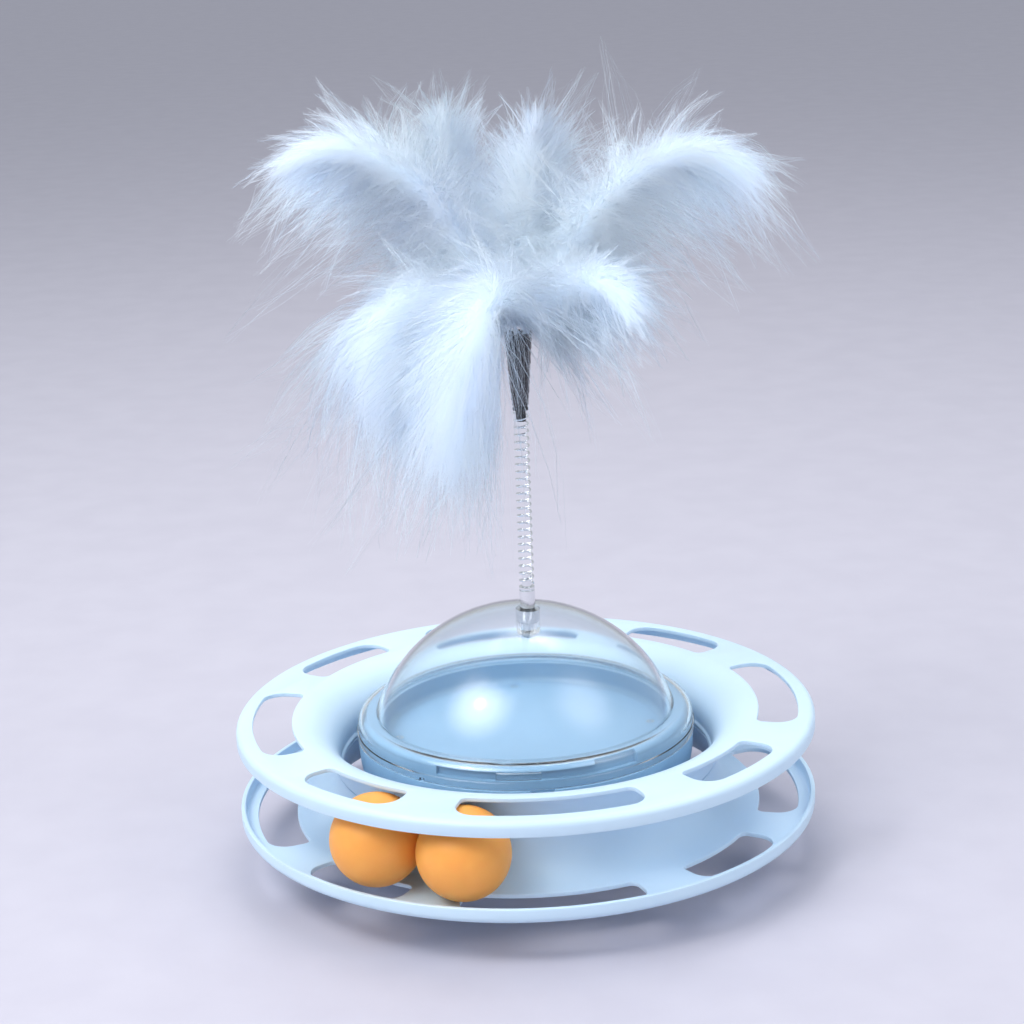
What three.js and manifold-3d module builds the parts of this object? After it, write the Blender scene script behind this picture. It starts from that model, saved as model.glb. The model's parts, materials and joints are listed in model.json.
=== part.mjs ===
// A cat ball tower: a round-bottomed bowl carries a two-ball track, a clear twist-lock dome and a feather wand.
// Millimetres, +Z up. The origin is the middle of the flat foot, and -Y is the front.

import * as THREE from 'three';
import { mergeVertices } from 'three/addons/utils/BufferGeometryUtils.js';
import Module from 'manifold-3d';

const wasm = await Module();
wasm.setup();

// Clearances that the whole part shares
const seatGap = 0.3;
const screwHoleClearance = 0.3;
const cutOverrun = 2;

// Balls
const ballDiameter = 40;
const ballWall = 0.6;
const ballVentRadius = 0.7;
const ballPlay = 1;
const ballLeanShare = 0.413492;
const ballTouchGap = 0.35;
const rightBallAzimuth = -109.1;

// Bowl: the round bottom that rocks
const bodyRadius = 75.5;
const bowlHeight = 54.9;
const bowlWall = 2.2;
const bowlFullness = 2.4;
const footRadius = 18;
const notchAzimuth = -89.8;
const notchWidth = 9.4;
const notchDepth = 5.5;
const notchCornerRadius = 1.6;

// Track: two turned rings that meet at the waist
const trackReach = 54.5;
const trackMiddleHeight = 42;
const trackWall = 2;
const bodyGap = 8.5;
const rimLipStraight = 3.75;
const rimCornerRadius = 3;
const waistLipHeight = 1.2;
const waistLipDepth = 1;
const waistLipMargin = 0.3;
const slotInnerMargin = 1;
const slotRimBand = 7.5;
const slotEndFlat = 5;
const slotInnerCornerShare = 0.2;
const longSlotAngle = 39.5;
const shortSlotAngle = 25;

// Track screws and what they clamp: a lug of the bowl and a boss on each ring
const trackBossRadius = 3.4;
const trackBossInset = 0.4;
const lowerTrackBossHeight = 10;
const upperTrackBossHeight = 9;
const lugThickness = 3.2;
const lugMargin = 0.9;
const trackScrewRadius = 1.25;
const trackScrewHeadRadius = 2.4;
const trackScrewHeadHeight = 1.8;
const trackScrewBite = 6.5;

// Collar: the ring that the dome locks on
const collarRise = 9.1;
const collarFit = 0.3;
const collarOuterWall = 3;
const collarInnerWall = 2;
const collarWebWidth = 7;
const collarTopWall = 2;
const collarInnerCorner = 1.4;
const collarRelief = 0.6;
const collarSkirtDrop = 5.9;
const collarLedgeDrop = 4.9;
const collarLedgeThickness = 1.8;
const collarLedgeWidth = 15;
const dogCount = 3;
const grooveDepth = 1.8;
const grooveRise = 4.1;
const grooveHeight = 3.4;
const grooveStart = -126.4;
const grooveEnd = -54.9;
const grooveEntryAngle = 16.5;

// Tray: the dish under the dome
const trayClearance = 0.4;
const trayWall = 1.8;
const trayFloorThickness = 1.6;
const trayDepth = 8.4;
const trayRimDrop = 0.8;
const trayFilletRadius = 3;

// Collar screws and the bowl's posts under them
const collarScrewInset = 9;
const collarPostRadius = 4;
const collarScrewRadius = 1.4;
const collarScrewLength = 12;
const collarScrewHeadRadius = 2.7;
const collarScrewHeadHeight = 1.6;

// Counterweight: a steel disc on three posts
const weightRadius = 28;
const weightThickness = 7;
const weightSeatHeight = 9;
const weightBore = 5;
const weightChamfer = 0.8;
const weightScrewCircle = 19;
const weightPostRadius = 3.4;
const weightScrewRadius = 1.4;
const weightScrewBite = 5;
const weightScrewHeadRadius = 2.7;
const weightScrewHeadHeight = 1.8;

// Dome
const domeRise = 45.95;
const domeWall = 2;
const domeSeat = 1.1;
const shoulderShare = 0.62;
const twistClearance = 0.6;
const flangeProud = 0.4;
const flangeHeight = 3.6;
const flangeGap = 0.5;
const dogCentre = -97.6;
const dogAngle = 15;
const dogGap = 0.4;
const nickAzimuth = -131.4;
const nickWidth = 2.2;
const nickHeight = 1.4;
const nickDepth = 1.2;
const wandOffset = 2.8;
const domeBossRadius = 5.3;
const domeBossDrop = 9.5;
const domeBossStepDrop = 6;
const stemClearance = 0.3;

// Wand stem, its washer and its screw
const stemRadius = 3.45;
const stemRise = 9.5;
const stemNeckRadius = 2.4;
const spigotRadius = 2.2;
const spigotLength = 6;
const washerRadius = 5;
const washerThickness = 1;
const stemScrewRadius = 1.1;
const stemScrewBite = 8;
const stemScrewHeadRadius = 2.6;
const stemScrewHeadHeight = 1.7;

// Coil spring
const wireRadius = 0.425;
const springRadius = 3.45;
const springTurns = 23.5;
const springPitch = 3.33;
const wireStepsPerTurn = 8;
const wireSides = 5;

// Plug, binding and quills
const plugPegLength = 5;
const plugFlangeThickness = 1.2;
const plugStubLength = 3.5;
const plugStubRadius = 2.1;
const bindingBottomRadius = 3.6;
const bindingTopRadius = 6.2;
const bindingWall = 0.7;
const bindingLength = 33;
const quillRadius = 0.55;
const quillWallGap = 0.35;
const quillFootGap = 1;

// Feathers
const featherSpread = 118;
const featherRise = 104;
const plumeStations = 12;
const plumeSides = 8;
const plumeTipRadius = 0.8;
const plumeSwellShare = 0.62;
const plumeNotchShare = 0.82;

// Each plume's middle line, as shares of the spread in X and Y and of the rise in Z, from the binding's mouth
const plumes = [
  {
    name: 'right',
    azimuth: 0,
    pathShares: [[0.09, 0, 0.1], [0.28, 0, 0.62], [0.7, 0.02, 0.98], [0.98, 0.02, 0.44]],
    widthShare: 0.17,
    depthShare: 0.08,
  },
  {
    name: 'upper_right',
    azimuth: 50,
    pathShares: [[0.03, 0.07, 0.15], [0.03, 0.13, 0.42], [0.1, 0.16, 0.7], [0.11, 0.1, 0.95]],
    widthShare: 0.09,
    depthShare: 0.09,
  },
  {
    name: 'upper_left',
    azimuth: 115,
    pathShares: [[-0.06, 0.1, 0.12], [-0.17, 0.3, 0.4], [-0.28, 0.32, 0.72], [-0.21, 0.14, 0.99]],
    widthShare: 0.12,
    depthShare: 0.13,
  },
  {
    name: 'left',
    azimuth: 180,
    pathShares: [[-0.09, 0.01, 0.1], [-0.24, 0.01, 0.66], [-0.56, 0, 0.98], [-0.97, 0, 0.56]],
    widthShare: 0.16,
    depthShare: 0.08,
  },
  {
    name: 'left_drooping',
    azimuth: 207,
    pathShares: [[-0.09, -0.06, 0.05], [-0.5, -0.21, 0.39], [-0.86, -0.36, 0.06], [-0.44, -0.36, -0.74]],
    widthShare: 0.2,
    depthShare: 0.1,
  },
  {
    name: 'front_drooping',
    azimuth: 256,
    pathShares: [[-0.02, -0.11, 0.06], [-0.04, -0.5, 0.5], [-0.2, -0.8, -0.1], [-0.12, -0.46, -0.72]],
    widthShare: 0.13,
    depthShare: 0.17,
  },
  {
    name: 'right_drooping',
    azimuth: 312,
    pathShares: [[0.08, -0.07, 0.05], [0.26, -0.26, 0.42], [0.5, -0.44, 0.2], [0.42, -0.42, -0.2]],
    widthShare: 0.13,
    depthShare: 0.11,
  },
];

// Facets of the round pieces
const ringFacets = 48;
const bodyFacets = 40;
const trayFacets = 36;
const boreFacets = 16;
const smallFacets = 8;
const ballFacets = 20;
const ballInsideFacets = 12;
const quillSteps = 4;
const quillSides = 5;
const curveSteps = 6;
const turnSteps = 4;
const filletSteps = 2;
const weldDistance = 1e-4;

// Sizes that follow from the ones above
const ballRadius = ballDiameter / 2;
const ringRadius = bodyRadius + trackReach;
const waistInnerRadius = bodyRadius + bodyGap;
const waistRadius = waistInnerRadius + trackWall;
const waistStraight = waistLipHeight + waistLipDepth + waistLipMargin;
const trackHalfHeight = (ballDiameter + ballPlay) / 2;
const trackTurnRadius = trackHalfHeight - waistStraight;
const slotInnerRadius = waistRadius + trackTurnRadius + slotInnerMargin;
const slotOuterRadius = ringRadius - slotRimBand;
const slotWidth = slotOuterRadius - slotInnerRadius;
const slotInnerCorner = slotWidth * slotInnerCornerShare;
const slotOuterCorner = slotWidth - slotInnerCorner - slotEndFlat;
const rimLipHeight = rimCornerRadius + rimLipStraight;
const rimLipEdge = trackHalfHeight + trackWall - rimLipHeight;
const innermostOrbit = waistRadius + ballRadius;
const outermostOrbit = ringRadius - trackWall - Math.sqrt(ballRadius ** 2 - rimLipEdge ** 2);
const ballOrbitRadius = THREE.MathUtils.lerp(innermostOrbit, outermostOrbit, ballLeanShare);
const ballSpacing = 2 * Math.asin((ballRadius + ballTouchGap / 2) / ballOrbitRadius);
const ballHeight = trackMiddleHeight - trackHalfHeight + ballRadius + seatGap;
const trackScrewCircle = waistInnerRadius - trackBossRadius + trackBossInset;
const trackScrewHole = trackScrewRadius + screwHoleClearance;
const halfSeam = seatGap / 2;
const lugTop = trackMiddleHeight - halfSeam - lowerTrackBossHeight - seatGap;
const lugBottom = lugTop - lugThickness;
const footShare = (footRadius / bodyRadius) ** bowlFullness;
const bowlDepth = bowlHeight / (1 - footShare) ** (1 / bowlFullness);
const collarRadius = bodyRadius - bowlWall - collarFit;
const collarInnerRadius = collarRadius - collarWebWidth;
const collarTop = bowlHeight + collarRise;
const collarSkirtBottom = bowlHeight - collarSkirtDrop;
const collarLedgeBottom = bowlHeight - collarLedgeDrop;
const collarLedgeTop = collarLedgeBottom + collarLedgeThickness;
const collarLedgeBore = collarInnerRadius - collarLedgeWidth;
const collarScrewCircle = collarInnerRadius - collarScrewInset;
const grooveBottom = bowlHeight + grooveRise;
const trayFloorTop = collarTop - trayDepth;
const collarScrewHole = collarScrewRadius + screwHoleClearance;
const weightScrewHole = weightScrewRadius + screwHoleClearance;
const skirtInnerRadius = collarRadius + twistClearance;
const skirtRadius = skirtInnerRadius + domeWall;
const shoulderUnderside = collarTop + seatGap;
const shoulderTop = shoulderUnderside + domeWall;
const domeFootRadius = collarInnerRadius + domeSeat;
const domeRadius = (domeFootRadius ** 2 + domeRise ** 2) / (2 * domeRise);
const domeTop = shoulderTop + domeRise;
const domeCentreHeight = domeTop - domeRadius;
const shoulderRadius = (skirtRadius - domeFootRadius) * shoulderShare;
const collarCornerRadius = shoulderRadius - domeWall - twistClearance;
const domeInnerRadius = domeRadius - domeWall;
const flangeBottom = bowlHeight + flangeGap;
const flangeTop = flangeBottom + flangeHeight;
const domeBossBottom = domeTop - domeWall - domeBossDrop;
const domeBossStep = domeTop - domeWall - domeBossStepDrop;
const stemTop = domeTop + stemRise;
const stemBottom = domeBossBottom + seatGap;
const stemScrewHole = stemScrewRadius + screwHoleClearance;
const washerTop = domeBossBottom - seatGap;
const coilRadius = springRadius - wireRadius;
const springBottom = stemTop + seatGap;
const springStart = springBottom + 2 * wireRadius;
const springTop = springStart + springTurns * springPitch + 2 * wireRadius;
const plugBottom = springTop + seatGap;
const plugFlangeTop = plugBottom + plugFlangeThickness;
const plugTop = plugFlangeTop + plugStubLength;
const bindingBottom = plugFlangeTop + seatGap;
const bindingTop = bindingBottom + bindingLength;
const quillInset = bindingWall + quillWallGap + quillRadius;

// Azimuths in degrees: the diagonals carry the track, the quarters carry the collar
const diagonals = around(4, 45);
const quarters = around(4, 0);
const thirds = around(3, 90);
const dogTurns = around(dogCount, 0);

// Helpers

const radians = THREE.MathUtils.degToRad;
const degrees = THREE.MathUtils.radToDeg;

function around(count, first) {
  return Array.from({ length: count }, (_, i) => first + (360 * i) / count);
}

function arc(centreX, centreY, radius, from, to, steps) {
  return Array.from({ length: steps + 1 }, (_, i) => {
    const angle = radians(from + ((to - from) * i) / steps);
    return new THREE.Vector2(centreX + radius * Math.cos(angle), centreY + radius * Math.sin(angle));
  });
}

function points(...pairs) {
  return pairs.map(([x, y]) => new THREE.Vector2(x, y));
}

// An outline without the points that repeat their neighbour
function tidied(outline) {
  return outline.filter((point, i) => point.distanceTo(outline.at(i - 1)) > weldDistance);
}

function solidFrom(geometry) {
  const bare = geometry.clone();
  bare.deleteAttribute('normal');
  bare.deleteAttribute('uv');
  const merged = mergeVertices(bare, weldDistance);
  const corners = merged.index.array;
  const faces = [];
  for (let i = 0; i < corners.length; i += 3) {
    const [a, b, c] = corners.slice(i, i + 3);
    if (a !== b && b !== c && c !== a) faces.push(a, b, c);
  }
  const vertProperties = new Float32Array(merged.attributes.position.array);
  return new wasm.Manifold(new wasm.Mesh({ numProp: 3, vertProperties, triVerts: new Uint32Array(faces) }));
}

function geometryFrom(solid) {
  const mesh = solid.getMesh();
  const geometry = new THREE.BufferGeometry();
  geometry.setAttribute('position', new THREE.BufferAttribute(mesh.vertProperties, 3));
  geometry.setIndex(new THREE.BufferAttribute(mesh.triVerts, 1));
  geometry.computeVertexNormals();
  return geometry;
}

// A body with pieces joined to it, and then pieces cut from it
function shape(body, { join = [], cut = [] } = {}) {
  let solid = solidFrom(body);
  for (const piece of join) solid = solid.add(solidFrom(piece));
  for (const piece of cut) solid = solid.subtract(solidFrom(piece));
  return geometryFrom(solid);
}

// Turns an outline of radius and height about the Z axis
function revolve(outline, facets) {
  const onAxis = outline[0].x === 0;
  const line = tidied(outline);
  const loop = onAxis ? line : [...line, line[0]];
  const outward = THREE.ShapeUtils.area(line) > 0 ? loop : loop.toReversed();
  return new THREE.LatheGeometry(outward, facets).rotateX(Math.PI / 2);
}

function cylinder(radius, low, high, facets = smallFacets) {
  const geometry = new THREE.CylinderGeometry(radius, radius, high - low, facets).rotateX(Math.PI / 2);
  return geometry.translate(0, 0, (low + high) / 2);
}

// A plan outline carried from one height to another, whichever comes first
function prism(outline, from, to) {
  const plan = new THREE.Shape(tidied(outline));
  const geometry = new THREE.ExtrudeGeometry(plan, { depth: Math.abs(to - from), bevelEnabled: false });
  return geometry.translate(0, 0, Math.min(from, to));
}

// A piece of a ring between two radii, two azimuths and two heights
function ringPiece(inner, outer, from, to, low, high, steps = curveSteps) {
  return prism([...arc(0, 0, outer, from, to, steps), ...arc(0, 0, inner, to, from, steps)], low, high);
}

// Moves a geometry out along +X and round to an azimuth in degrees
function placed(geometry, radius, azimuth) {
  return geometry.clone().translate(radius, 0, 0).rotateZ(radians(azimuth));
}

// A closed skin over elliptical sections, each with its centre, its direction and one of its two axes
function loft(stations, sides) {
  const positions = [];
  const faces = [];
  for (const { centre, along, side, sideSize, crossSize } of stations) {
    const sideAxis = side.clone().addScaledVector(along, -side.dot(along)).normalize();
    const crossAxis = along.clone().cross(sideAxis);
    for (let k = 0; k < sides; k += 1) {
      const angle = (2 * Math.PI * k) / sides;
      const point = centre.clone()
        .addScaledVector(sideAxis, sideSize * Math.cos(angle))
        .addScaledVector(crossAxis, crossSize * Math.sin(angle));
      positions.push(...point.toArray());
    }
  }
  const last = (stations.length - 1) * sides;
  for (let start = 0; start < last; start += sides) {
    for (let k = 0; k < sides; k += 1) {
      const next = (k + 1) % sides;
      faces.push(start + k, start + next, start + sides + next);
      faces.push(start + k, start + sides + next, start + sides + k);
    }
  }
  for (let k = 1; k < sides - 1; k += 1) {
    faces.push(0, k + 1, k);
    faces.push(last, last + k, last + k + 1);
  }
  const geometry = new THREE.BufferGeometry();
  geometry.setAttribute('position', new THREE.Float32BufferAttribute(positions, 3));
  geometry.setIndex(faces);
  geometry.computeVertexNormals();
  return geometry;
}

// A pan-head screw with its head's underside at zero height and its shaft pointing down
function screw(shaftRadius, length, headRadius, headHeight) {
  const crown = headHeight / 2;
  return revolve([
    ...points([0, -length], [shaftRadius / 2, -length], [shaftRadius, shaftRadius - length], [shaftRadius, 0]),
    ...points([headRadius, 0], [headRadius, crown], [headRadius - crown, headHeight], [0, headHeight]),
  ], smallFacets);
}

// Bowl

function bowlPoint(radius, depth, angle) {
  const power = 2 / bowlFullness;
  return new THREE.Vector2(radius * Math.cos(angle) ** power, bowlHeight - depth * Math.sin(angle) ** power);
}

function bowlRadiusAt(height) {
  const sunk = ((bowlHeight - height) / bowlDepth) ** bowlFullness;
  return bodyRadius * (1 - sunk) ** (1 / bowlFullness);
}

// The bowl's outline from the rim down to the given end angle, with the wall taken off where it is the inside
function bowlCurve(wall, endAngle) {
  return Array.from({ length: curveSteps + 1 }, (_, i) => (
    bowlPoint(bodyRadius - wall, bowlDepth - wall, (endAngle * i) / curveSteps)
  ));
}

// A notch in the bowl's rim with turned-out lips, lying along +X
function rimNotch() {
  const half = notchWidth / 2;
  const lip = half + notchCornerRadius;
  const outline = [
    ...points([-half, -notchDepth], [half, -notchDepth]),
    ...arc(lip, -notchCornerRadius, notchCornerRadius, 180, 90, filletSteps),
    ...points([lip, cutOverrun], [-lip, cutOverrun]),
    ...arc(-lip, -notchCornerRadius, notchCornerRadius, 90, 0, filletSteps),
  ];
  const upright = new THREE.Matrix4().makeBasis(
    new THREE.Vector3(0, 1, 0),
    new THREE.Vector3(0, 0, 1),
    new THREE.Vector3(1, 0, 0),
  );
  return prism(outline, bodyRadius - bowlWall - cutOverrun, bodyRadius + cutOverrun)
    .applyMatrix4(upright)
    .translate(0, 0, bowlHeight);
}

function bowlLug() {
  const half = trackBossRadius + lugMargin;
  const root = bowlRadiusAt(lugBottom) - bowlWall;
  const outline = [...arc(trackScrewCircle, 0, half, -90, 90, 2 * filletSteps), ...points([root, half], [root, -half])];
  return prism(outline, lugBottom, lugTop);
}

function baseBowl() {
  const footAngle = Math.acos(Math.sqrt(footShare));
  const outside = bowlCurve(0, footAngle);
  outside[curveSteps].y = 0;
  const inside = bowlCurve(bowlWall, Math.PI / 2);
  inside[curveSteps].x = 0;
  const collarPost = cylinder(collarPostRadius, 0, collarLedgeBottom - seatGap);
  const weightPost = cylinder(weightPostRadius, 0, weightSeatHeight);
  const collarHole = cylinder(collarScrewHole, collarLedgeTop - collarScrewLength, bowlHeight);
  const weightHole = cylinder(weightScrewHole, weightSeatHeight - weightScrewBite - seatGap, bowlHeight);
  const lugHole = cylinder(trackScrewHole, lugBottom - cutOverrun, lugTop + cutOverrun);

  const cavityTop = points([0, bowlHeight + cutOverrun], [bodyRadius - bowlWall, bowlHeight + cutOverrun]);
  const cavity = shape(revolve([...cavityTop, ...inside], bodyFacets), {
    cut: [
      ...quarters.map((azimuth) => placed(collarPost, collarScrewCircle, azimuth)),
      ...thirds.map((azimuth) => placed(weightPost, weightScrewCircle, azimuth)),
    ],
  });
  return shape(revolve([...points([0, bowlHeight]), ...outside, ...points([0, 0])], bodyFacets), {
    join: diagonals.map((azimuth) => placed(bowlLug(), 0, azimuth)),
    cut: [
      cavity,
      placed(rimNotch(), 0, notchAzimuth),
      ...diagonals.map((azimuth) => placed(lugHole, trackScrewCircle, azimuth)),
      ...quarters.map((azimuth) => placed(collarHole, collarScrewCircle, azimuth)),
      ...thirds.map((azimuth) => placed(weightHole, weightScrewCircle, azimuth)),
    ],
  });
}

// Track

function slotOutline(angle) {
  const half = angle / 2;
  const outerRow = slotOuterRadius - slotOuterCorner;
  const innerRow = slotInnerRadius + slotInnerCorner;
  const outerEnd = half - degrees(Math.asin(slotOuterCorner / outerRow));
  const innerEnd = half - degrees(Math.asin(slotInnerCorner / innerRow));
  const corner = (row, azimuth, radius, from, to) => (
    arc(row * Math.cos(radians(azimuth)), row * Math.sin(radians(azimuth)), radius, from, to, filletSteps)
  );
  return [
    ...arc(0, 0, slotOuterRadius, -outerEnd, outerEnd, curveSteps),
    ...corner(outerRow, outerEnd, slotOuterCorner, outerEnd, half + 90),
    ...corner(innerRow, innerEnd, slotInnerCorner, half + 90, innerEnd + 180),
    ...arc(0, 0, slotInnerRadius, innerEnd, -innerEnd, curveSteps),
    ...corner(innerRow, -innerEnd, slotInnerCorner, 180 - innerEnd, 270 - half),
    ...corner(outerRow, -outerEnd, slotOuterCorner, 270 - half, 360 - outerEnd),
  ];
}

// A boss on the waist's inner side, round towards the body
function trackBoss(from, to) {
  const root = waistInnerRadius + trackWall / 2;
  const outline = [
    ...arc(trackScrewCircle, 0, trackBossRadius, 90, 270, 2 * filletSteps),
    ...points([root, -trackBossRadius], [root, trackBossRadius]),
  ];
  return prism(outline, from, to);
}

// One ring of the track: side 1 is the upper ring and side -1 its mirror below the waist
function trackRing(side, bossHeight, screwReach) {
  const level = (height) => trackMiddleHeight + side * height;
  const turnCentre = waistRadius + trackTurnRadius;
  const top = trackHalfHeight + trackWall;
  const cornerRow = ringRadius - rimCornerRadius;
  const waistLipRadius = waistInnerRadius - waistLipDepth;
  const profile = [
    ...points([waistRadius, halfSeam], [waistLipRadius, halfSeam], [waistLipRadius, waistLipHeight]),
    ...points([waistInnerRadius, waistLipHeight + waistLipDepth]),
    ...arc(turnCentre, waistStraight, trackTurnRadius + trackWall, 180, 90, turnSteps),
    ...arc(cornerRow, top - rimCornerRadius, rimCornerRadius, 90, 0, filletSteps),
    ...points([ringRadius, rimLipEdge], [ringRadius - trackWall, rimLipEdge]),
    ...arc(cornerRow, top - rimCornerRadius, rimCornerRadius - trackWall, 0, 90, filletSteps),
    ...arc(turnCentre, waistStraight, trackTurnRadius, 90, 180, turnSteps),
  ].map((point) => new THREE.Vector2(point.x, level(point.y)));

  const boss = trackBoss(level(halfSeam), level(bossHeight));
  const hole = cylinder(
    trackScrewHole,
    Math.min(level(-cutOverrun), level(screwReach)),
    Math.max(level(-cutOverrun), level(screwReach)),
  );
  const slot = (angle) => prism(slotOutline(angle), level(trackHalfHeight - cutOverrun), level(top + cutOverrun));
  return shape(revolve(profile, ringFacets), {
    join: diagonals.map((azimuth) => placed(boss, 0, azimuth)),
    cut: [
      ...quarters.map((azimuth) => placed(slot(longSlotAngle), 0, azimuth)),
      ...diagonals.map((azimuth) => placed(slot(shortSlotAngle), 0, azimuth)),
      ...diagonals.map((azimuth) => placed(hole, trackScrewCircle, azimuth)),
    ],
  });
}

// Balls

function ball() {
  const sphere = (radius, facets) => new THREE.SphereGeometry(radius, facets, facets / 2).rotateX(Math.PI / 2);
  const vent = cylinder(ballVentRadius, ballRadius - ballWall - cutOverrun, ballRadius + cutOverrun, quillSides);
  return shape(sphere(ballRadius, ballFacets), { cut: [sphere(ballRadius - ballWall, ballInsideFacets), vent] });
}

// Collar, tray and counterweight

function collar() {
  const webRadius = collarInnerRadius + collarInnerWall;
  const wallInside = collarRadius - collarOuterWall;
  const skirtOutside = collarRadius - collarRelief;
  const cornerHeight = collarTop - collarCornerRadius;
  const ring = revolve([
    ...points([collarLedgeBore, collarLedgeBottom], [webRadius, collarLedgeBottom]),
    ...points([webRadius, collarTop - collarTopWall], [wallInside, collarTop - collarTopWall]),
    ...points([wallInside, collarSkirtBottom], [skirtOutside, collarSkirtBottom]),
    ...points([skirtOutside, bowlHeight - collarRelief], [collarRadius, bowlHeight]),
    ...arc(collarRadius - collarCornerRadius, cornerHeight, collarCornerRadius, 0, 90, filletSteps),
    ...arc(collarInnerRadius + collarInnerCorner, collarTop - collarInnerCorner, collarInnerCorner, 90, 180, filletSteps),
    ...points([collarInnerRadius, collarLedgeTop], [collarLedgeBore, collarLedgeTop]),
  ], bodyFacets);
  const floor = collarRadius - grooveDepth;
  const outside = collarRadius + cutOverrun;
  const grooveTop = grooveBottom + grooveHeight;
  const entryStart = grooveEnd - grooveEntryAngle;
  const groove = ringPiece(floor, outside, grooveStart, grooveEnd, grooveBottom, grooveTop);
  const entry = ringPiece(floor, outside, entryStart, grooveEnd, grooveBottom, collarTop + cutOverrun, filletSteps);
  const hole = cylinder(collarScrewHole, collarLedgeBottom - cutOverrun, collarLedgeTop + cutOverrun);
  return shape(ring, {
    cut: [
      ...dogTurns.map((turn) => placed(groove, 0, turn)),
      ...dogTurns.map((turn) => placed(entry, 0, turn)),
      ...quarters.map((azimuth) => placed(hole, collarScrewCircle, azimuth)),
    ],
  });
}

function tray() {
  const radius = collarInnerRadius - trayClearance;
  const inside = radius - trayWall;
  const floorBottom = trayFloorTop - trayFloorThickness;
  const foot = collarLedgeTop + seatGap;
  const rim = collarTop - trayRimDrop;
  const filletRow = inside - trayFilletRadius;
  return shape(revolve([
    ...points([0, floorBottom], [inside, floorBottom], [inside, foot], [radius, foot], [radius, rim], [inside, rim]),
    ...arc(filletRow, trayFloorTop + trayFilletRadius, trayFilletRadius, 0, -90, filletSteps),
    ...points([0, trayFloorTop]),
  ], trayFacets));
}

function counterweight() {
  const low = weightSeatHeight + seatGap;
  const high = low + weightThickness;
  const disc = revolve([
    ...points([weightBore, low], [weightRadius - weightChamfer, low], [weightRadius, low + weightChamfer]),
    ...points([weightRadius, high - weightChamfer], [weightRadius - weightChamfer, high], [weightBore, high]),
  ], trayFacets);
  const hole = cylinder(weightScrewHole, low - cutOverrun, high + cutOverrun);
  return shape(disc, { cut: thirds.map((azimuth) => placed(hole, weightScrewCircle, azimuth)) });
}

// Dome

function domeShell() {
  const shoulderRow = skirtRadius - shoulderRadius;
  const shoulderHeight = shoulderTop - shoulderRadius;
  const outerStart = degrees(Math.asin((shoulderTop - domeCentreHeight) / domeRadius));
  const innerEnd = degrees(Math.asin((shoulderUnderside - domeCentreHeight) / domeInnerRadius));
  const flangeRadius = skirtRadius + flangeProud;
  const outline = [
    ...arc(0, domeCentreHeight, domeInnerRadius, 90, innerEnd, curveSteps),
    ...arc(shoulderRow, shoulderHeight, shoulderRadius - domeWall, 90, 0, filletSteps),
    ...points([skirtInnerRadius, flangeBottom], [flangeRadius, flangeBottom]),
    ...points([flangeRadius, flangeTop - flangeProud], [skirtRadius, flangeTop]),
    ...arc(shoulderRow, shoulderHeight, shoulderRadius, 0, 90, filletSteps),
    ...arc(0, domeCentreHeight, domeRadius, outerStart, 90, curveSteps),
  ];
  outline[0].x = 0;
  outline.at(-1).x = 0;

  const dogBottom = grooveBottom + dogGap;
  const dogTop = grooveBottom + grooveHeight - dogGap;
  const dogTip = collarRadius - grooveDepth + dogGap;
  const dogFrom = dogCentre - dogAngle / 2;
  const dogRoot = skirtInnerRadius + domeWall / 2;
  const dog = ringPiece(dogTip, dogRoot, dogFrom, dogFrom + dogAngle, dogBottom, dogTop, filletSteps);
  const nick = new THREE.BoxGeometry(2 * nickDepth, nickWidth, 2 * nickHeight).translate(0, 0, flangeBottom);
  const boss = cylinder(domeBossRadius, domeBossBottom, domeTop - domeWall / 2, boreFacets);
  const bore = cylinder(stemRadius + stemClearance, domeBossStep, domeTop + cutOverrun, boreFacets);
  const stepBore = cylinder(stemNeckRadius + stemClearance, domeBossBottom - cutOverrun, domeTop);
  return shape(revolve(outline, bodyFacets), {
    join: [boss.translate(wandOffset, 0, 0), ...dogTurns.map((turn) => placed(dog, 0, turn))],
    cut: [
      bore.translate(wandOffset, 0, 0),
      stepBore.translate(wandOffset, 0, 0),
      placed(nick, flangeRadius, nickAzimuth),
    ],
  });
}

// Wand, each piece centred on the wand's own axis

function wandStem() {
  const neckTop = domeBossStep + seatGap;
  const spigotTop = stemTop + spigotLength;
  const turned = revolve([
    ...points([0, stemBottom], [stemNeckRadius, stemBottom], [stemNeckRadius, neckTop], [stemRadius, neckTop]),
    ...points([stemRadius, stemTop], [spigotRadius, stemTop], [spigotRadius, spigotTop], [0, spigotTop]),
  ], boreFacets);
  const hole = cylinder(stemScrewHole, stemBottom - cutOverrun, stemBottom + stemScrewBite + seatGap);
  return shape(turned, { cut: [hole] });
}

function stemWasher() {
  const low = washerTop - washerThickness;
  return shape(revolve([
    ...points([stemScrewHole, low], [washerRadius, low], [washerRadius, washerTop], [stemScrewHole, washerTop]),
  ], boreFacets));
}

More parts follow.
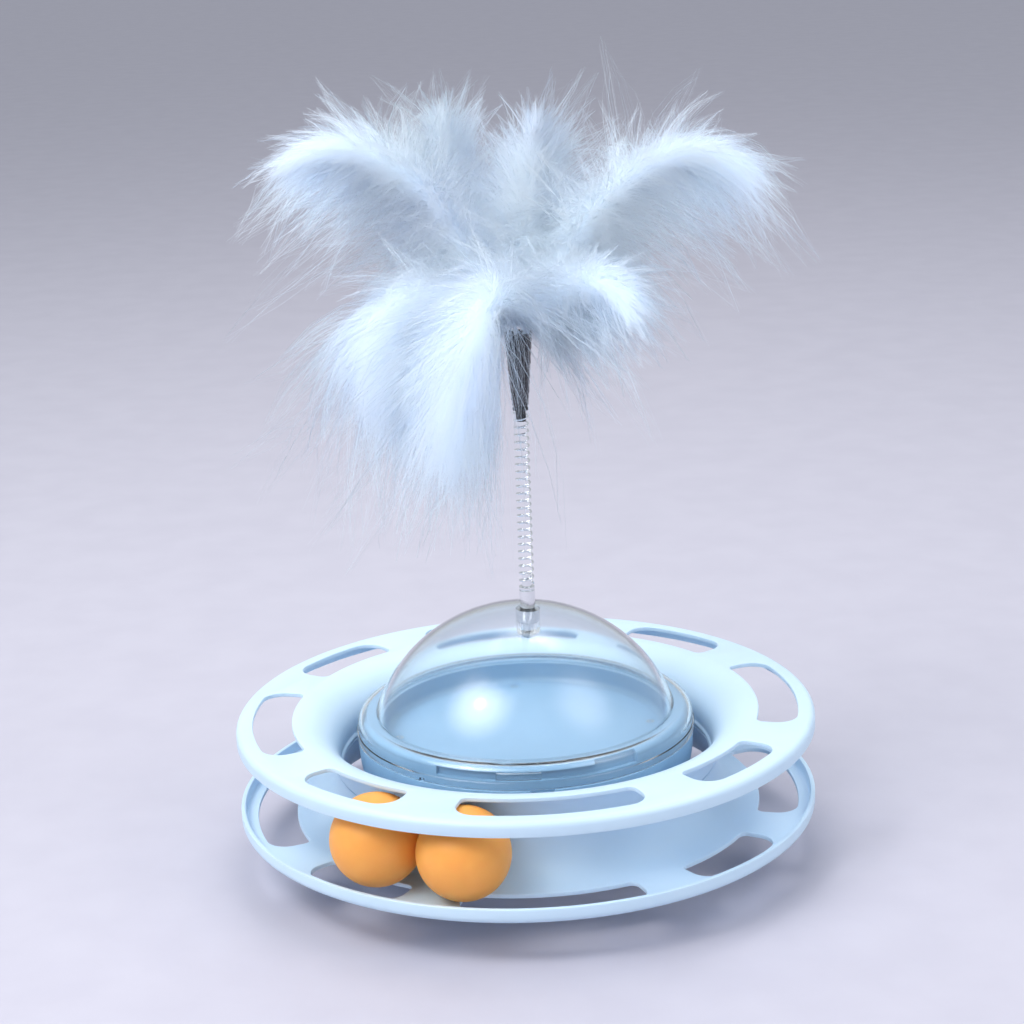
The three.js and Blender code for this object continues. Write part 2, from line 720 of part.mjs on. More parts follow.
// The spring's wire: short square ends and an even helix between them
function springStations() {
  const steps = Math.round(springTurns * wireStepsPerTurn);
  const upward = new THREE.Vector3(0, 0, 1);
  const station = (turns, height, along) => {
    const angle = 2 * Math.PI * turns;
    const side = new THREE.Vector3(Math.cos(angle), Math.sin(angle), 0);
    const centre = side.clone().multiplyScalar(coilRadius).setZ(height);
    return { centre, along, side, sideSize: wireRadius, crossSize: wireRadius };
  };
  const direction = (turns) => {
    const angle = 2 * Math.PI * turns;
    const girth = 2 * Math.PI * coilRadius;
    return new THREE.Vector3(-girth * Math.sin(angle), girth * Math.cos(angle), springPitch).normalize();
  };
  const helix = Array.from({ length: steps + 1 }, (_, i) => {
    const turns = (springTurns * i) / steps;
    const ends = i === 0 || i === steps;
    const along = ends ? direction(turns).add(upward).normalize() : direction(turns);
    return station(turns, springStart + springPitch * turns, along);
  });
  return [station(0, springBottom, upward), ...helix, station(springTurns, springTop, upward)];
}

// The least air between two turns of the wire, measured on the points of its middle line
function leastGap(stations) {
  const apart = wireStepsPerTurn / 2;
  let least = Infinity;
  stations.forEach(({ centre }, i) => {
    for (const other of stations.slice(i + apart)) least = Math.min(least, centre.distanceTo(other.centre));
  });
  return least - 2 * wireRadius;
}

function coilSpring() {
  const stations = springStations();
  console.log(`coil_spring: least gap between its turns ${leastGap(stations).toFixed(2)} mm`);
  return loft(stations, wireSides);
}

function springPlug() {
  const low = plugBottom - plugPegLength;
  return shape(revolve([
    ...points([0, low], [spigotRadius, low], [spigotRadius, plugBottom], [springRadius, plugBottom]),
    ...points([springRadius, plugFlangeTop], [plugStubRadius, plugFlangeTop], [plugStubRadius, plugTop], [0, plugTop]),
  ], smallFacets));
}

function quillBinding() {
  return shape(revolve([
    ...points([bindingBottomRadius - bindingWall, bindingBottom], [bindingBottomRadius, bindingBottom]),
    ...points([bindingTopRadius, bindingTop], [bindingTopRadius - bindingWall, bindingTop]),
  ], boreFacets));
}

// Feathers

function plumePath({ pathShares }) {
  const corners = pathShares.map(([x, y, z]) => (
    new THREE.Vector3(x * featherSpread, y * featherSpread, bindingTop + z * featherRise)
  ));
  return new THREE.CubicBezierCurve3(...corners);
}

// Level, and square to the way that the plume leans
function plumeSide({ azimuth }) {
  return new THREE.Vector3(-Math.sin(radians(azimuth)), Math.cos(radians(azimuth)), 0);
}

// A plume swells from its quill and ends in a point, with a notched edge where its barbs part
function plumeSolid(plume) {
  const path = plumePath(plume);
  const stations = Array.from({ length: plumeStations + 1 }, (_, i) => {
    const t = i / plumeStations;
    const notch = i % 2 ? 1 : plumeNotchShare;
    const swell = Math.max(Math.sin(Math.PI * t ** plumeSwellShare), 0) * notch;
    const ends = THREE.MathUtils.lerp(quillRadius, plumeTipRadius, t);
    return {
      centre: path.getPoint(t),
      along: path.getTangent(t),
      side: plumeSide(plume),
      sideSize: ends + swell * plume.depthShare * featherSpread,
      crossSize: ends + swell * plume.widthShare * featherSpread,
    };
  });
  return loft(stations, plumeSides);
}

// A bare quill from its place in the binding, out of the mouth and on to the root of its plume
function quillSolid(plume, index) {
  const seat = radians((360 * index) / plumes.length);
  const seatPoint = (radius, height) => new THREE.Vector3(radius * Math.cos(seat), radius * Math.sin(seat), height);
  const footHeight = plugTop + quillFootGap;
  const foot = seatPoint(bindingBottomRadius - quillInset, footHeight);
  const mouth = seatPoint(bindingTopRadius - quillInset, bindingTop);
  const path = plumePath(plume);
  const root = path.getPoint(0).addScaledVector(path.getTangent(0), -seatGap);
  const outward = mouth.clone().sub(foot).normalize();
  const reach = mouth.distanceTo(root) / 3;
  const bend = new THREE.CubicBezierCurve3(
    mouth,
    mouth.clone().addScaledVector(outward, reach),
    root.clone().addScaledVector(path.getTangent(0), -reach),
    root,
  );
  const centres = [foot, ...bend.getPoints(quillSteps)];
  const stations = centres.map((centre, i) => ({
    centre,
    along: i ? bend.getTangent((i - 1) / quillSteps) : outward,
    side: plumeSide(plume),
    sideSize: quillRadius,
    crossSize: quillRadius,
  }));
  return loft(stations, quillSides);
}

// Finishes

function finish(color, roughness, metalness = 0, opacity = 1) {
  return new THREE.MeshStandardMaterial({ color, roughness, metalness, opacity, transparent: opacity < 1 });
}

const trackPlastic = finish(0xd6ecfa, 0.42);
const bowlPlastic = finish(0x93b9d8, 0.4);
const trayPlastic = finish(0xb4d2e8, 0.4);
const clearPlastic = finish(0xdcecf4, 0.08, 0, 0.3);
const ballPlastic = finish(0xfaa34e, 0.5);
const chromedSteel = finish(0xd8dcde, 0.15, 1);
const screwSteel = finish(0xa8acb0, 0.35, 1);
const blackTape = finish(0x14151c, 0.4);
const plugPlastic = finish(0x23252c, 0.5);
const down = finish(0xd3e2fb, 0.9);
const quillHorn = finish(0xe6edf6, 0.5);

// The assembly

function piece(parent, name, geometry, material) {
  const mesh = new THREE.Mesh(geometry, material);
  mesh.name = name;
  parent.add(mesh);
  return mesh;
}

const tower = new THREE.Group();
const body = new THREE.Group();
const track = new THREE.Group();
const cover = new THREE.Group();
const wand = new THREE.Group();
wand.position.x = wandOffset;
cover.add(wand);
tower.add(body, track, cover);

piece(body, 'base_bowl', baseBowl(), bowlPlastic);
piece(body, 'collar', collar(), bowlPlastic);
piece(body, 'tray', tray(), trayPlastic);
piece(body, 'counterweight', counterweight(), screwSteel);

const weightScrewSeat = weightSeatHeight + seatGap + weightThickness + seatGap;
const weightScrewLength = weightScrewSeat - weightSeatHeight + weightScrewBite;
thirds.forEach((azimuth, i) => {
  const shaft = screw(weightScrewRadius, weightScrewLength, weightScrewHeadRadius, weightScrewHeadHeight);
  piece(body, `weight_screw_${i + 1}`, placed(shaft, weightScrewCircle, azimuth), screwSteel)
    .position.z = weightScrewSeat;
});
quarters.forEach((azimuth, i) => {
  const shaft = screw(collarScrewRadius, collarScrewLength, collarScrewHeadRadius, collarScrewHeadHeight);
  piece(body, `collar_screw_${i + 1}`, placed(shaft, collarScrewCircle, azimuth), screwSteel)
    .position.z = collarLedgeTop + seatGap;
});

piece(track, 'upper_track', trackRing(1, upperTrackBossHeight, trackScrewBite + seatGap), trackPlastic);
piece(track, 'lower_track', trackRing(-1, lowerTrackBossHeight, lowerTrackBossHeight + cutOverrun), trackPlastic);
const trackScrewSeat = lugBottom - seatGap;
const trackScrewLength = trackMiddleHeight + trackScrewBite - trackScrewSeat;
diagonals.forEach((azimuth, i) => {
  const shaft = screw(trackScrewRadius, trackScrewLength, trackScrewHeadRadius, trackScrewHeadHeight)
    .rotateX(Math.PI);
  piece(track, `track_screw_${i + 1}`, placed(shaft, trackScrewCircle, azimuth), screwSteel)
    .position.z = trackScrewSeat;
});

const ballAzimuths = { right: radians(rightBallAzimuth), left: radians(rightBallAzimuth) - ballSpacing };
for (const [name, azimuth] of Object.entries(ballAzimuths)) {
  piece(track, `ball_${name}`, ball(), ballPlastic).position
    .set(ballOrbitRadius * Math.cos(azimuth), ballOrbitRadius * Math.sin(azimuth), ballHeight);
}

piece(cover, 'dome', domeShell(), clearPlastic);
piece(wand, 'wand_stem', wandStem(), chromedSteel);
piece(wand, 'stem_washer', stemWasher(), screwSteel);
const stemScrewSeat = washerTop - washerThickness - seatGap;
const stemScrewLength = stemBottom + stemScrewBite - stemScrewSeat;
const stemScrew = screw(stemScrewRadius, stemScrewLength, stemScrewHeadRadius, stemScrewHeadHeight).rotateX(Math.PI);
piece(wand, 'stem_screw', stemScrew, screwSteel).position.z = stemScrewSeat;
piece(wand, 'coil_spring', coilSpring(), chromedSteel);
piece(wand, 'spring_plug', springPlug(), plugPlastic);
piece(wand, 'quill_binding', quillBinding(), blackTape);
plumes.forEach((plume, index) => {
  piece(wand, `quill_${plume.name}`, quillSolid(plume, index), quillHorn);
  piece(wand, `plume_${plume.name}`, plumeSolid(plume), down);
});

export default tower;
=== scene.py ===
# %% [markdown]
# # A cat ball tower
#
# The toy is a round-bottomed bowl inside a ring-shaped ball track. A clear dome locks on the bowl's
# collar, and a coil spring on the dome's pole carries a head of marabou feathers.
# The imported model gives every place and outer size. This script gives each piece its fine shape and finish.

# %% Load the frame
import json
import math

import bmesh
import bpy
import numpy as np
from mathutils import Matrix, Vector


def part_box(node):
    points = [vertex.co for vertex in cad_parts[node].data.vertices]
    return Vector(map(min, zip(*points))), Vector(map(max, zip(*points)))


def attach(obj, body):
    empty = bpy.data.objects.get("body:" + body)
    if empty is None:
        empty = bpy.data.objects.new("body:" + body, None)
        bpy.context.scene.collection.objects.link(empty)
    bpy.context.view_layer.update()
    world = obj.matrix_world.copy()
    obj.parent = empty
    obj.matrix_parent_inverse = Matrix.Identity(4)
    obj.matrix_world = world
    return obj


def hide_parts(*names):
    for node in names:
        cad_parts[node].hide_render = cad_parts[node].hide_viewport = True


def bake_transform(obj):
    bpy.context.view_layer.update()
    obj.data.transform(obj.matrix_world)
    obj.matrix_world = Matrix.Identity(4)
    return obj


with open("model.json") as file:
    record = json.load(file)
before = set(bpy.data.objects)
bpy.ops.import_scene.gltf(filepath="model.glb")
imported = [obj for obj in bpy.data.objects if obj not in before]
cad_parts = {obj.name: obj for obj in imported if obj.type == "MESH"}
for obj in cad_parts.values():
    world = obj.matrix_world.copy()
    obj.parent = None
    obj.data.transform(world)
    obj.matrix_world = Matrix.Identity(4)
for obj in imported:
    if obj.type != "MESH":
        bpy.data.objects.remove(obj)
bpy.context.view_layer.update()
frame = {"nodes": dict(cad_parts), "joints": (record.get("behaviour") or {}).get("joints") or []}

# %% [markdown]
# Shapes are drawn in millimetres, because that is how such a toy is dimensioned, and become metres
# when a piece is finished. Outer sizes are measured from the frame, so that nothing drifts from it.

# %% Units and measuring
MM = 0.001


def extent(node):
    """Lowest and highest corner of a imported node, in millimetres."""
    low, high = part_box(node)
    return low / MM, high / MM


def arc(centre_x, centre_y, radius, start, end, steps=14):
    """Points on an arc, in degrees."""
    angles = np.radians(np.linspace(start, end, steps + 1))
    return [(centre_x + radius * math.cos(a), centre_y + radius * math.sin(a)) for a in angles]


# %% [markdown]
# ## The mesh tools
#
# Turned pieces start as an outline that is spun about the axis. Flat-sided cuts start as an outline that
# is extruded. A Boolean modifier joins and cuts them, and the coplanar edges that it leaves are dissolved
# so that the bevel afterwards runs along clean corners.

# %% Spin and extrude
SEAM = 0.002


def spun(outline, steps=192):
    """A closed solid, turned from points of radius and height.

    The outline is closed for it, unless it starts and ends on the axis.
    """
    bm = bmesh.new()
    verts = [bm.verts.new((radius, 0, height)) for radius, height in outline]
    pairs = list(zip(verts, verts[1:]))
    if outline[0][0] > SEAM:
        pairs.append((verts[-1], verts[0]))
    edges = [bm.edges.new(pair) for pair in pairs]
    bmesh.ops.spin(bm, geom=verts + edges, cent=(0, 0, 0), axis=(0, 0, 1), angle=math.tau,
                   steps=steps, use_merge=True)
    bmesh.ops.remove_doubles(bm, verts=bm.verts, dist=SEAM)
    bmesh.ops.recalc_face_normals(bm, faces=bm.faces)
    return bm


def prism(outline, low, high):
    """A flat outline carried from one height to another."""
    bm = bmesh.new()
    face = bm.faces.new([bm.verts.new((x, y, low)) for x, y in outline])
    raised = bmesh.ops.extrude_face_region(bm, geom=[face])["geom"]
    upper_verts = [element for element in raised if isinstance(element, bmesh.types.BMVert)]
    bmesh.ops.translate(bm, vec=(0, 0, high - low), verts=upper_verts)
    bmesh.ops.remove_doubles(bm, verts=bm.verts, dist=SEAM)
    bmesh.ops.recalc_face_normals(bm, faces=bm.faces)
    return bm


def rectangle(half_x, half_y):
    """The corners of a flat rectangle about the axis."""
    return [(-half_x, -half_y), (half_x, -half_y), (half_x, half_y), (-half_x, half_y)]


def rod(radius, low, high, steps=32):
    """An upright cylinder."""
    bm = bmesh.new()
    middle = Matrix.Translation((0, 0, (low + high) / 2))
    bmesh.ops.create_cone(bm, cap_ends=True, segments=steps, radius1=radius, radius2=radius,
                          depth=high - low, matrix=middle)
    return bm


def at(bm, radius=0, azimuth=0, height=0):
    """A copy, moved out along +X, up, and round to an azimuth in degrees."""
    copy = bm.copy()
    place = Matrix.Rotation(math.radians(azimuth), 4, "Z") @ Matrix.Translation((radius, 0, height))
    bmesh.ops.transform(copy, matrix=place, verts=copy.verts)
    return copy


def around(count, first=0):
    """Evenly spaced azimuths in degrees."""
    return [first + 360 * i / count for i in range(count)]


def together(parts):
    """Several meshes in one, without joining their surfaces."""
    whole = bmesh.new()
    for part in parts:
        mesh = bpy.data.meshes.new("part")
        part.to_mesh(mesh)
        whole.from_mesh(mesh)
        bpy.data.meshes.remove(mesh)
    return whole


# %% Booleans and bevels
def as_object(bm, name):
    mesh = bpy.data.meshes.new(name)
    bm.to_mesh(mesh)
    made = bpy.data.objects.new(name, mesh)
    bpy.context.scene.collection.objects.link(made)
    return made


def combined(bm, tool, operation):
    """One Boolean between two closed meshes, with the flat leftovers dissolved."""
    body, other = as_object(bm, "body"), as_object(tool, "tool")
    modifier = body.modifiers.new("combine", "BOOLEAN")
    modifier.object = other
    modifier.operation = operation
    modifier.solver = "EXACT"
    depsgraph = bpy.context.evaluated_depsgraph_get()
    result = bmesh.new()
    result.from_mesh(body.evaluated_get(depsgraph).to_mesh())
    for spare in (body, other):
        mesh = spare.data
        bpy.data.objects.remove(spare)
        bpy.data.meshes.remove(mesh)
    bmesh.ops.remove_doubles(result, verts=result.verts, dist=SEAM)
    bmesh.ops.dissolve_limit(result, angle_limit=math.radians(0.2), verts=result.verts, edges=result.edges)
    return result


def cut(bm, *tools):
    return combined(bm, together(tools), "DIFFERENCE")


def joined(bm, *tools):
    return combined(bm, together(tools), "UNION")


def eased(bm, width, sharper_than=35, segments=3, where=lambda edge: True):
    """Rounds over the corners, as a mould or a lathe leaves them."""
    corners = [
        edge for edge in bm.edges
        if edge.is_manifold and edge.calc_face_angle() > math.radians(sharper_than) and where(edge)
    ]
    bmesh.ops.bevel(bm, geom=corners, offset=width, offset_type="OFFSET", segments=segments, profile=0.5,
                    affect="EDGES", clamp_overlap=False, material=-1)
    return bm


# %% [markdown]
# A finished piece sits at the origin with its place in its mesh, rides on an imported body when it is given
# that body's name, and stands for the plain node that it replaces. Facets that meet at a small angle are
# shaded smooth.

# %% Finish a piece
FACET_ANGLE = 22


def finished(name, bm, body, material, stands_for=()):
    bmesh.ops.scale(bm, vec=(MM, MM, MM), verts=bm.verts)
    piece = as_object(bm, name)
    bm.free()
    piece.data.shade_smooth()
    piece.data.set_sharp_from_angle(angle=math.radians(FACET_ANGLE))
    piece.data.materials.append(material)
    if isinstance(body, str):
        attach(piece, body)
    else:
        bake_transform(piece)
    if stands_for:
        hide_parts(*stands_for)
    print(f"{name}: {len(piece.data.polygons)} faces")
    return piece


# %% [markdown]
# ## Materials
#
# The rings and the bowl are injection-moulded plastic with a satin skin: a fine spark texture in the
# steel mould breaks up the gloss, and the colour drifts a little where the melt flowed.

# %% Plastic
def shader(name):
    """A node material and its Principled shader."""
    material = bpy.data.materials.new(name)
    material.use_nodes = True
    return material, material.node_tree, material.node_tree.nodes["Principled BSDF"]


def noise(tree, scale, detail=3.0, roughness=0.5):
    """Noise on Object coordinates, in cycles for each metre."""
    coordinates = tree.nodes.new("ShaderNodeTexCoord")
    texture = tree.nodes.new("ShaderNodeTexNoise")
    texture.inputs["Scale"].default_value = scale
    texture.inputs["Detail"].default_value = detail
    texture.inputs["Roughness"].default_value = roughness
    tree.links.new(coordinates.outputs["Object"], texture.inputs["Vector"])
    return texture.outputs["Fac"]


def between(tree, source, low, high, start=0.35, end=0.65):
    """A value that follows the source from low to high."""
    ramp = tree.nodes.new("ShaderNodeMapRange")
    for name, value in (("From Min", start), ("From Max", end), ("To Min", low), ("To Max", high)):
        ramp.inputs[name].default_value = value
    tree.links.new(source, ramp.inputs["Value"])
    return ramp.outputs["Result"]


def colour_between(tree, source, first, second):
    """A colour that drifts from the first to the second as the source grows."""
    mix = tree.nodes.new("ShaderNodeMix")
    mix.data_type = "RGBA"
    tree.links.new(between(tree, source, 0, 1), mix.inputs["Factor"])
    mix.inputs["A"].default_value = (*first, 1)
    mix.inputs["B"].default_value = (*second, 1)
    return mix.outputs["Result"]


def bumped(tree, source, principled, strength, distance):
    bump = tree.nodes.new("ShaderNodeBump")
    bump.inputs["Strength"].default_value = strength
    bump.inputs["Distance"].default_value = distance
    tree.links.new(source, bump.inputs["Height"])
    tree.links.new(bump.outputs["Normal"], principled.inputs["Normal"])


melt_drift, spark_grain = 28, 2600


def moulded_plastic(name, colour, deeper, roughness=0.4, softness=0.08):
    material, tree, principled = shader(name)
    drift = noise(tree, melt_drift, detail=2.0)
    grain = noise(tree, spark_grain, detail=2.0)
    tree.links.new(colour_between(tree, drift, colour, deeper), principled.inputs["Base Color"])
    tree.links.new(between(tree, grain, roughness - 0.05, roughness + 0.07), principled.inputs["Roughness"])
    bumped(tree, grain, principled, 0.12, 0.00006)
    principled.inputs["Subsurface Weight"].default_value = softness
    principled.inputs["Subsurface Radius"].default_value = (0.6, 0.9, 1.0)
    principled.inputs["Subsurface Scale"].default_value = 0.0025
    return material


track_plastic = moulded_plastic("track_plastic", (0.62, 0.80, 0.96), (0.60, 0.78, 0.95))
bowl_plastic = moulded_plastic("bowl_plastic", (0.25, 0.42, 0.60), (0.23, 0.40, 0.58))
tray_plastic = moulded_plastic("tray_plastic", (0.27, 0.43, 0.60), (0.25, 0.41, 0.58), roughness=0.34)
plug_plastic = moulded_plastic("plug_plastic", (0.02, 0.02, 0.025), (0.03, 0.03, 0.035), softness=0)

# %% [markdown]
# The dome is clear polystyrene, 2 mm thick. It is modelled as real glass-like walls, and lets the lamps'
# light straight through, because light focused through a thin wall would only add noise.


# %% Clear plastic
def lit_through(tree, surface, tint):
    """Lets the lamps' light go straight through a surface, dimmed by a tint."""
    rays = tree.nodes.new("ShaderNodeLightPath")
    open_air = tree.nodes.new("ShaderNodeBsdfTransparent")
    open_air.inputs["Color"].default_value = (*tint, 1)
    mix = tree.nodes.new("ShaderNodeMixShader")
    tree.links.new(rays.outputs["Is Shadow Ray"], mix.inputs["Fac"])
    tree.links.new(surface, mix.inputs[1])
    tree.links.new(open_air.outputs["BSDF"], mix.inputs[2])
    tree.links.new(mix.outputs["Shader"], tree.nodes["Material Output"].inputs["Surface"])


def clear(name, tint):
    material, tree, principled = shader(name)
    principled.inputs["Base Color"].default_value = (*tint, 1)
    principled.inputs["Roughness"].default_value = 0.05
    principled.inputs["IOR"].default_value = 1.46
    principled.inputs["Transmission Weight"].default_value = 1.0
    lit_through(tree, principled.outputs["BSDF"], tint)
    return material


clear_plastic = clear("clear_plastic", (0.95, 0.975, 0.99))

# %% [markdown]
# The balls are frosted celluloid-like plastic: light goes in a little way, so their shaded side stays warm.


# %% Frosted ball plastic
mottle_scale, frost_scale = 120, 3200


def frosted(name, colour, deeper):
    material, tree, principled = shader(name)
    mottle = noise(tree, mottle_scale, detail=3.0)
    frost = noise(tree, frost_scale, detail=2.0)
    tree.links.new(colour_between(tree, mottle, colour, deeper), principled.inputs["Base Color"])
    tree.links.new(between(tree, frost, 0.42, 0.56), principled.inputs["Roughness"])
    bumped(tree, frost, principled, 0.15, 0.00005)
    principled.inputs["Subsurface Weight"].default_value = 0.35
    principled.inputs["Subsurface Radius"].default_value = (1.0, 0.45, 0.15)
    principled.inputs["Subsurface Scale"].default_value = 0.006
    return material


ball_plastic = frosted("ball_plastic", (0.98, 0.43, 0.09), (0.96, 0.40, 0.08))

# %% [markdown]
# Metal needs only two finishes here: bright chrome on the spring and its stem, and dull zinc on the screws.


# %% Metals
def plated(name, colour, smooth, rough, scale):
    material, tree, principled = shader(name)
    streaks = noise(tree, scale, detail=4.0)
    principled.inputs["Base Color"].default_value = (*colour, 1)
    principled.inputs["Metallic"].default_value = 1.0
    tree.links.new(between(tree, streaks, smooth, rough), principled.inputs["Roughness"])
    bumped(tree, streaks, principled, 0.1, 0.00004)
    return material


chromed_steel = plated("chromed_steel", (0.82, 0.84, 0.86), 0.08, 0.16, 900)
screw_steel = plated("screw_steel", (0.56, 0.58, 0.60), 0.3, 0.45, 1400)

# %% [markdown]
# The binding is glossy black tape. It is creased where it was stretched, so its bump is a fine noise.


# %% Tape
crease_scale = 420
tape_black, tape_worn = (0.008, 0.008, 0.012), (0.02, 0.02, 0.028)


def wrapped_tape(name):
    material, tree, principled = shader(name)
    creases = noise(tree, crease_scale, detail=4.0, roughness=0.6)
    tree.links.new(colour_between(tree, creases, tape_black, tape_worn), principled.inputs["Base Color"])
    tree.links.new(between(tree, creases, 0.16, 0.34), principled.inputs["Roughness"])
    bumped(tree, creases, principled, 0.5, 0.0003)
    principled.inputs["Coat Weight"].default_value = 0.4
    principled.inputs["Coat Roughness"].default_value = 0.12
    return material


black_tape = wrapped_tape("black_tape")

# %% [markdown]
# Marabou is down: hairs so fine that light passes from one to the next. A diffuse shader mixed with a
# translucent one keeps the thick parts bright, and so does a hair's thin shadow. The blue drifts in soft
# random patches, partly as uneven dye and partly as painted shade for the lavender shadows in the down.


# %% Down and quill
dye_and_shade_drift = 26
share_let_through = 0.3
hair_shadow = (0.97, 0.985, 1.0)


def downy(name, pale, deep):
    material, tree, principled = shader(name)
    # random patches of the deeper blue: partly uneven dye, partly painted shade
    drift = noise(tree, dye_and_shade_drift, detail=2.0)
    tint = colour_between(tree, drift, pale, deep)
    tree.links.new(tint, principled.inputs["Base Color"])
    principled.inputs["Roughness"].default_value = 0.85
    principled.inputs["Specular IOR Level"].default_value = 0.1
    through = tree.nodes.new("ShaderNodeBsdfTranslucent")
    tree.links.new(tint, through.inputs["Color"])
    mix = tree.nodes.new("ShaderNodeMixShader")
    mix.inputs["Fac"].default_value = share_let_through
    tree.links.new(principled.outputs["BSDF"], mix.inputs[1])
    tree.links.new(through.outputs["BSDF"], mix.inputs[2])
    lit_through(tree, mix.outputs["Shader"], hair_shadow)
    return material


down = downy("down", (0.84, 0.925, 1.0), (0.81, 0.89, 1.0))
quill_horn = moulded_plastic("quill_horn", (0.74, 0.80, 0.88), (0.66, 0.74, 0.84), roughness=0.45)

# %% [markdown]
# ## The camera
#
# The camera stands where the photograph was taken: its height and distance follow from how the ring's
# two rims flatten into ellipses, and it is rolled a little because the toy leans in the picture.

# %% Camera
PHOTO_PIXELS = 1024
FOCAL_PIXELS = 2400
SENSOR = 36
FARTHEST = 50
camera_distance = 1.0886
camera_elevation = 20.963
camera_roll = 2.071
camera_yaw = 0.14
camera_pitch = 4.868
camera_turn = -4.7
aim_height = 0.06006


def photo_camera():
    """A camera that looks at the track's middle and is then nudged, tilted and rolled about its own axes."""
    elevation = math.radians(camera_elevation)
    place = Vector((0, -math.cos(elevation), math.sin(elevation))) * camera_distance
    forward = -place.normalized()
    right = Vector((1, 0, 0))
    up = right.cross(forward)
    pitch = Matrix.Rotation(math.radians(camera_pitch), 3, right)
    yaw = Matrix.Rotation(math.radians(camera_yaw), 3, up)
    aim = pitch @ yaw
    forward, right, up = aim @ forward, aim @ right, aim @ up
    roll = Matrix.Rotation(math.radians(camera_roll), 3, forward)
    right, up = roll @ right, roll @ up
    facing = Matrix((right, up, -forward)).transposed().to_4x4()
    turn = Matrix.Rotation(math.radians(camera_turn), 4, "Z")
    lens = bpy.data.cameras.new("camera")
    lens.sensor_width = SENSOR
    lens.lens = FOCAL_PIXELS / PHOTO_PIXELS * SENSOR
    lens.clip_end = FARTHEST
    camera = bpy.data.objects.new("camera", lens)
    bpy.context.scene.collection.objects.link(camera)
    camera.matrix_world = Matrix.Translation((0, 0, aim_height)) @ turn @ Matrix.Translation(place) @ facing
    bpy.context.scene.camera = camera
    return camera


photo_camera()

# %% [markdown]
# ## The track
#
# Each ring is one moulding: a waist that screws to the bowl, a channel wall that turns outwards, a flat
# face with eight slots, and a rim lip that keeps the balls in. The lower ring is the upper one's mirror.

# %% Track sizes
half_seam = 0.15
track_wall = 2
waist_lip_height = 1.2
waist_lip_depth = 1
waist_lip_margin = 0.3
ball_play = 1
rim_corner = 3
rim_lip = rim_corner + 3.75
body_gap = 8.5
slot_inner_margin = 1
slot_rim_band = 7.5
long_slot, short_slot = 39.5, 25
boss_radius, boss_inset = 3.4, 0.4
upper_boss_height, lower_boss_height = 9, 10
upper_hole_depth, lower_hole_depth = 6.8, 12
track_screw_bore = 1.55
OVERRUN = 2
track_easing, rim_easing, collar_easing, tray_easing, turned_easing = 0.4, 0.35, 0.2, 0.3, 0.15

ring_radius = extent("upper_track")[1].x
track_middle = (extent("upper_track")[0].z + extent("lower_track")[1].z) / 2
ball_radius = (extent("ball_right")[1].z - extent("ball_right")[0].z) / 2
body_radius = extent("base_bowl")[1].x
waist_inner = body_radius + body_gap
waist_radius = waist_inner + track_wall
waist_straight = waist_lip_height + waist_lip_depth + waist_lip_margin
track_half = ball_radius + ball_play / 2
turn_radius = track_half - waist_straight
turn_centre = waist_radius + turn_radius
slot_inner = turn_centre + slot_inner_margin
slot_outer = ring_radius - slot_rim_band
outer_corner, inner_corner = 9, 3.5
screw_circle = waist_inner - boss_radius + boss_inset
diagonals, quarters, thirds = around(4, 45), around(4), around(3, 90)
print("ring radius", round(ring_radius, 2), "track middle", round(track_middle, 2))


# %% Track rings
def slot_outline(angle):
    """An arched slot along +X, with round corners."""
    half = angle / 2
    outer_row, inner_row = slot_outer - outer_corner, slot_inner + inner_corner
    outer_end = half - math.degrees(math.asin(outer_corner / outer_row))
    inner_end = half - math.degrees(math.asin(inner_corner / inner_row))

    def corner(row, azimuth, radius, start, end):
        x, y = row * math.cos(math.radians(azimuth)), row * math.sin(math.radians(azimuth))
        return arc(x, y, radius, start, end, 10)

    points = [
        *arc(0, 0, slot_outer, -outer_end, outer_end, 16),
        *corner(outer_row, outer_end, outer_corner, outer_end, half + 90)[1:],
        *corner(inner_row, inner_end, inner_corner, half + 90, inner_end + 180),
        *arc(0, 0, slot_inner, inner_end, -inner_end, 16)[1:],
        *corner(inner_row, -inner_end, inner_corner, 180 - inner_end, 270 - half)[1:],
        *corner(outer_row, -outer_end, outer_corner, 270 - half, 360 - outer_end)[:-1],
    ]
    return points


def track_ring(side, boss_height, screw_reach):
    """One ring: side 1 is the upper ring, and side -1 its mirror."""
    top = track_half + track_wall
    lip_bottom = top - rim_lip
    corner_row = ring_radius - rim_corner
    lip_radius = waist_inner - waist_lip_depth
    outline = [
        (waist_radius, half_seam), (lip_radius, half_seam), (lip_radius, waist_lip_height),
        (waist_inner, waist_lip_height + waist_lip_depth),
        *arc(turn_centre, waist_straight, turn_radius + track_wall, 180, 90, 18),
        *arc(corner_row, top - rim_corner, rim_corner, 90, 0, 8),
        (ring_radius, lip_bottom), (ring_radius - track_wall, lip_bottom),
        *arc(corner_row, top - rim_corner, rim_corner - track_wall, 0, 90, 6),
        *arc(turn_centre, waist_straight, turn_radius, 90, 180, 18),
    ]
    ring = spun([(radius, track_middle + side * height) for radius, height in outline], 216)
    root = waist_inner + track_wall / 2
    boss_outline = [
        *arc(screw_circle, 0, boss_radius, 90, 270, 24), (root, -boss_radius), (root, boss_radius),
    ]
    low, high = sorted(track_middle + side * height for height in (half_seam, boss_height))
    boss = prism(boss_outline, low, high)
    ring = joined(ring, *[at(boss, azimuth=azimuth) for azimuth in diagonals])
    low, high = sorted(track_middle + side * height for height in (track_half - OVERRUN, top + OVERRUN))
    long_cut, short_cut = (prism(slot_outline(angle), low, high) for angle in (long_slot, short_slot))
    low, high = sorted(track_middle + side * height for height in (-OVERRUN, screw_reach))
    hole = rod(track_screw_bore, low, high, 24)
    ring = cut(
        ring,
        *[at(long_cut, azimuth=azimuth) for azimuth in quarters],
        *[at(short_cut, azimuth=azimuth) for azimuth in diagonals],
        *[at(hole, screw_circle, azimuth) for azimuth in diagonals],
    )
    return eased(ring, track_easing)


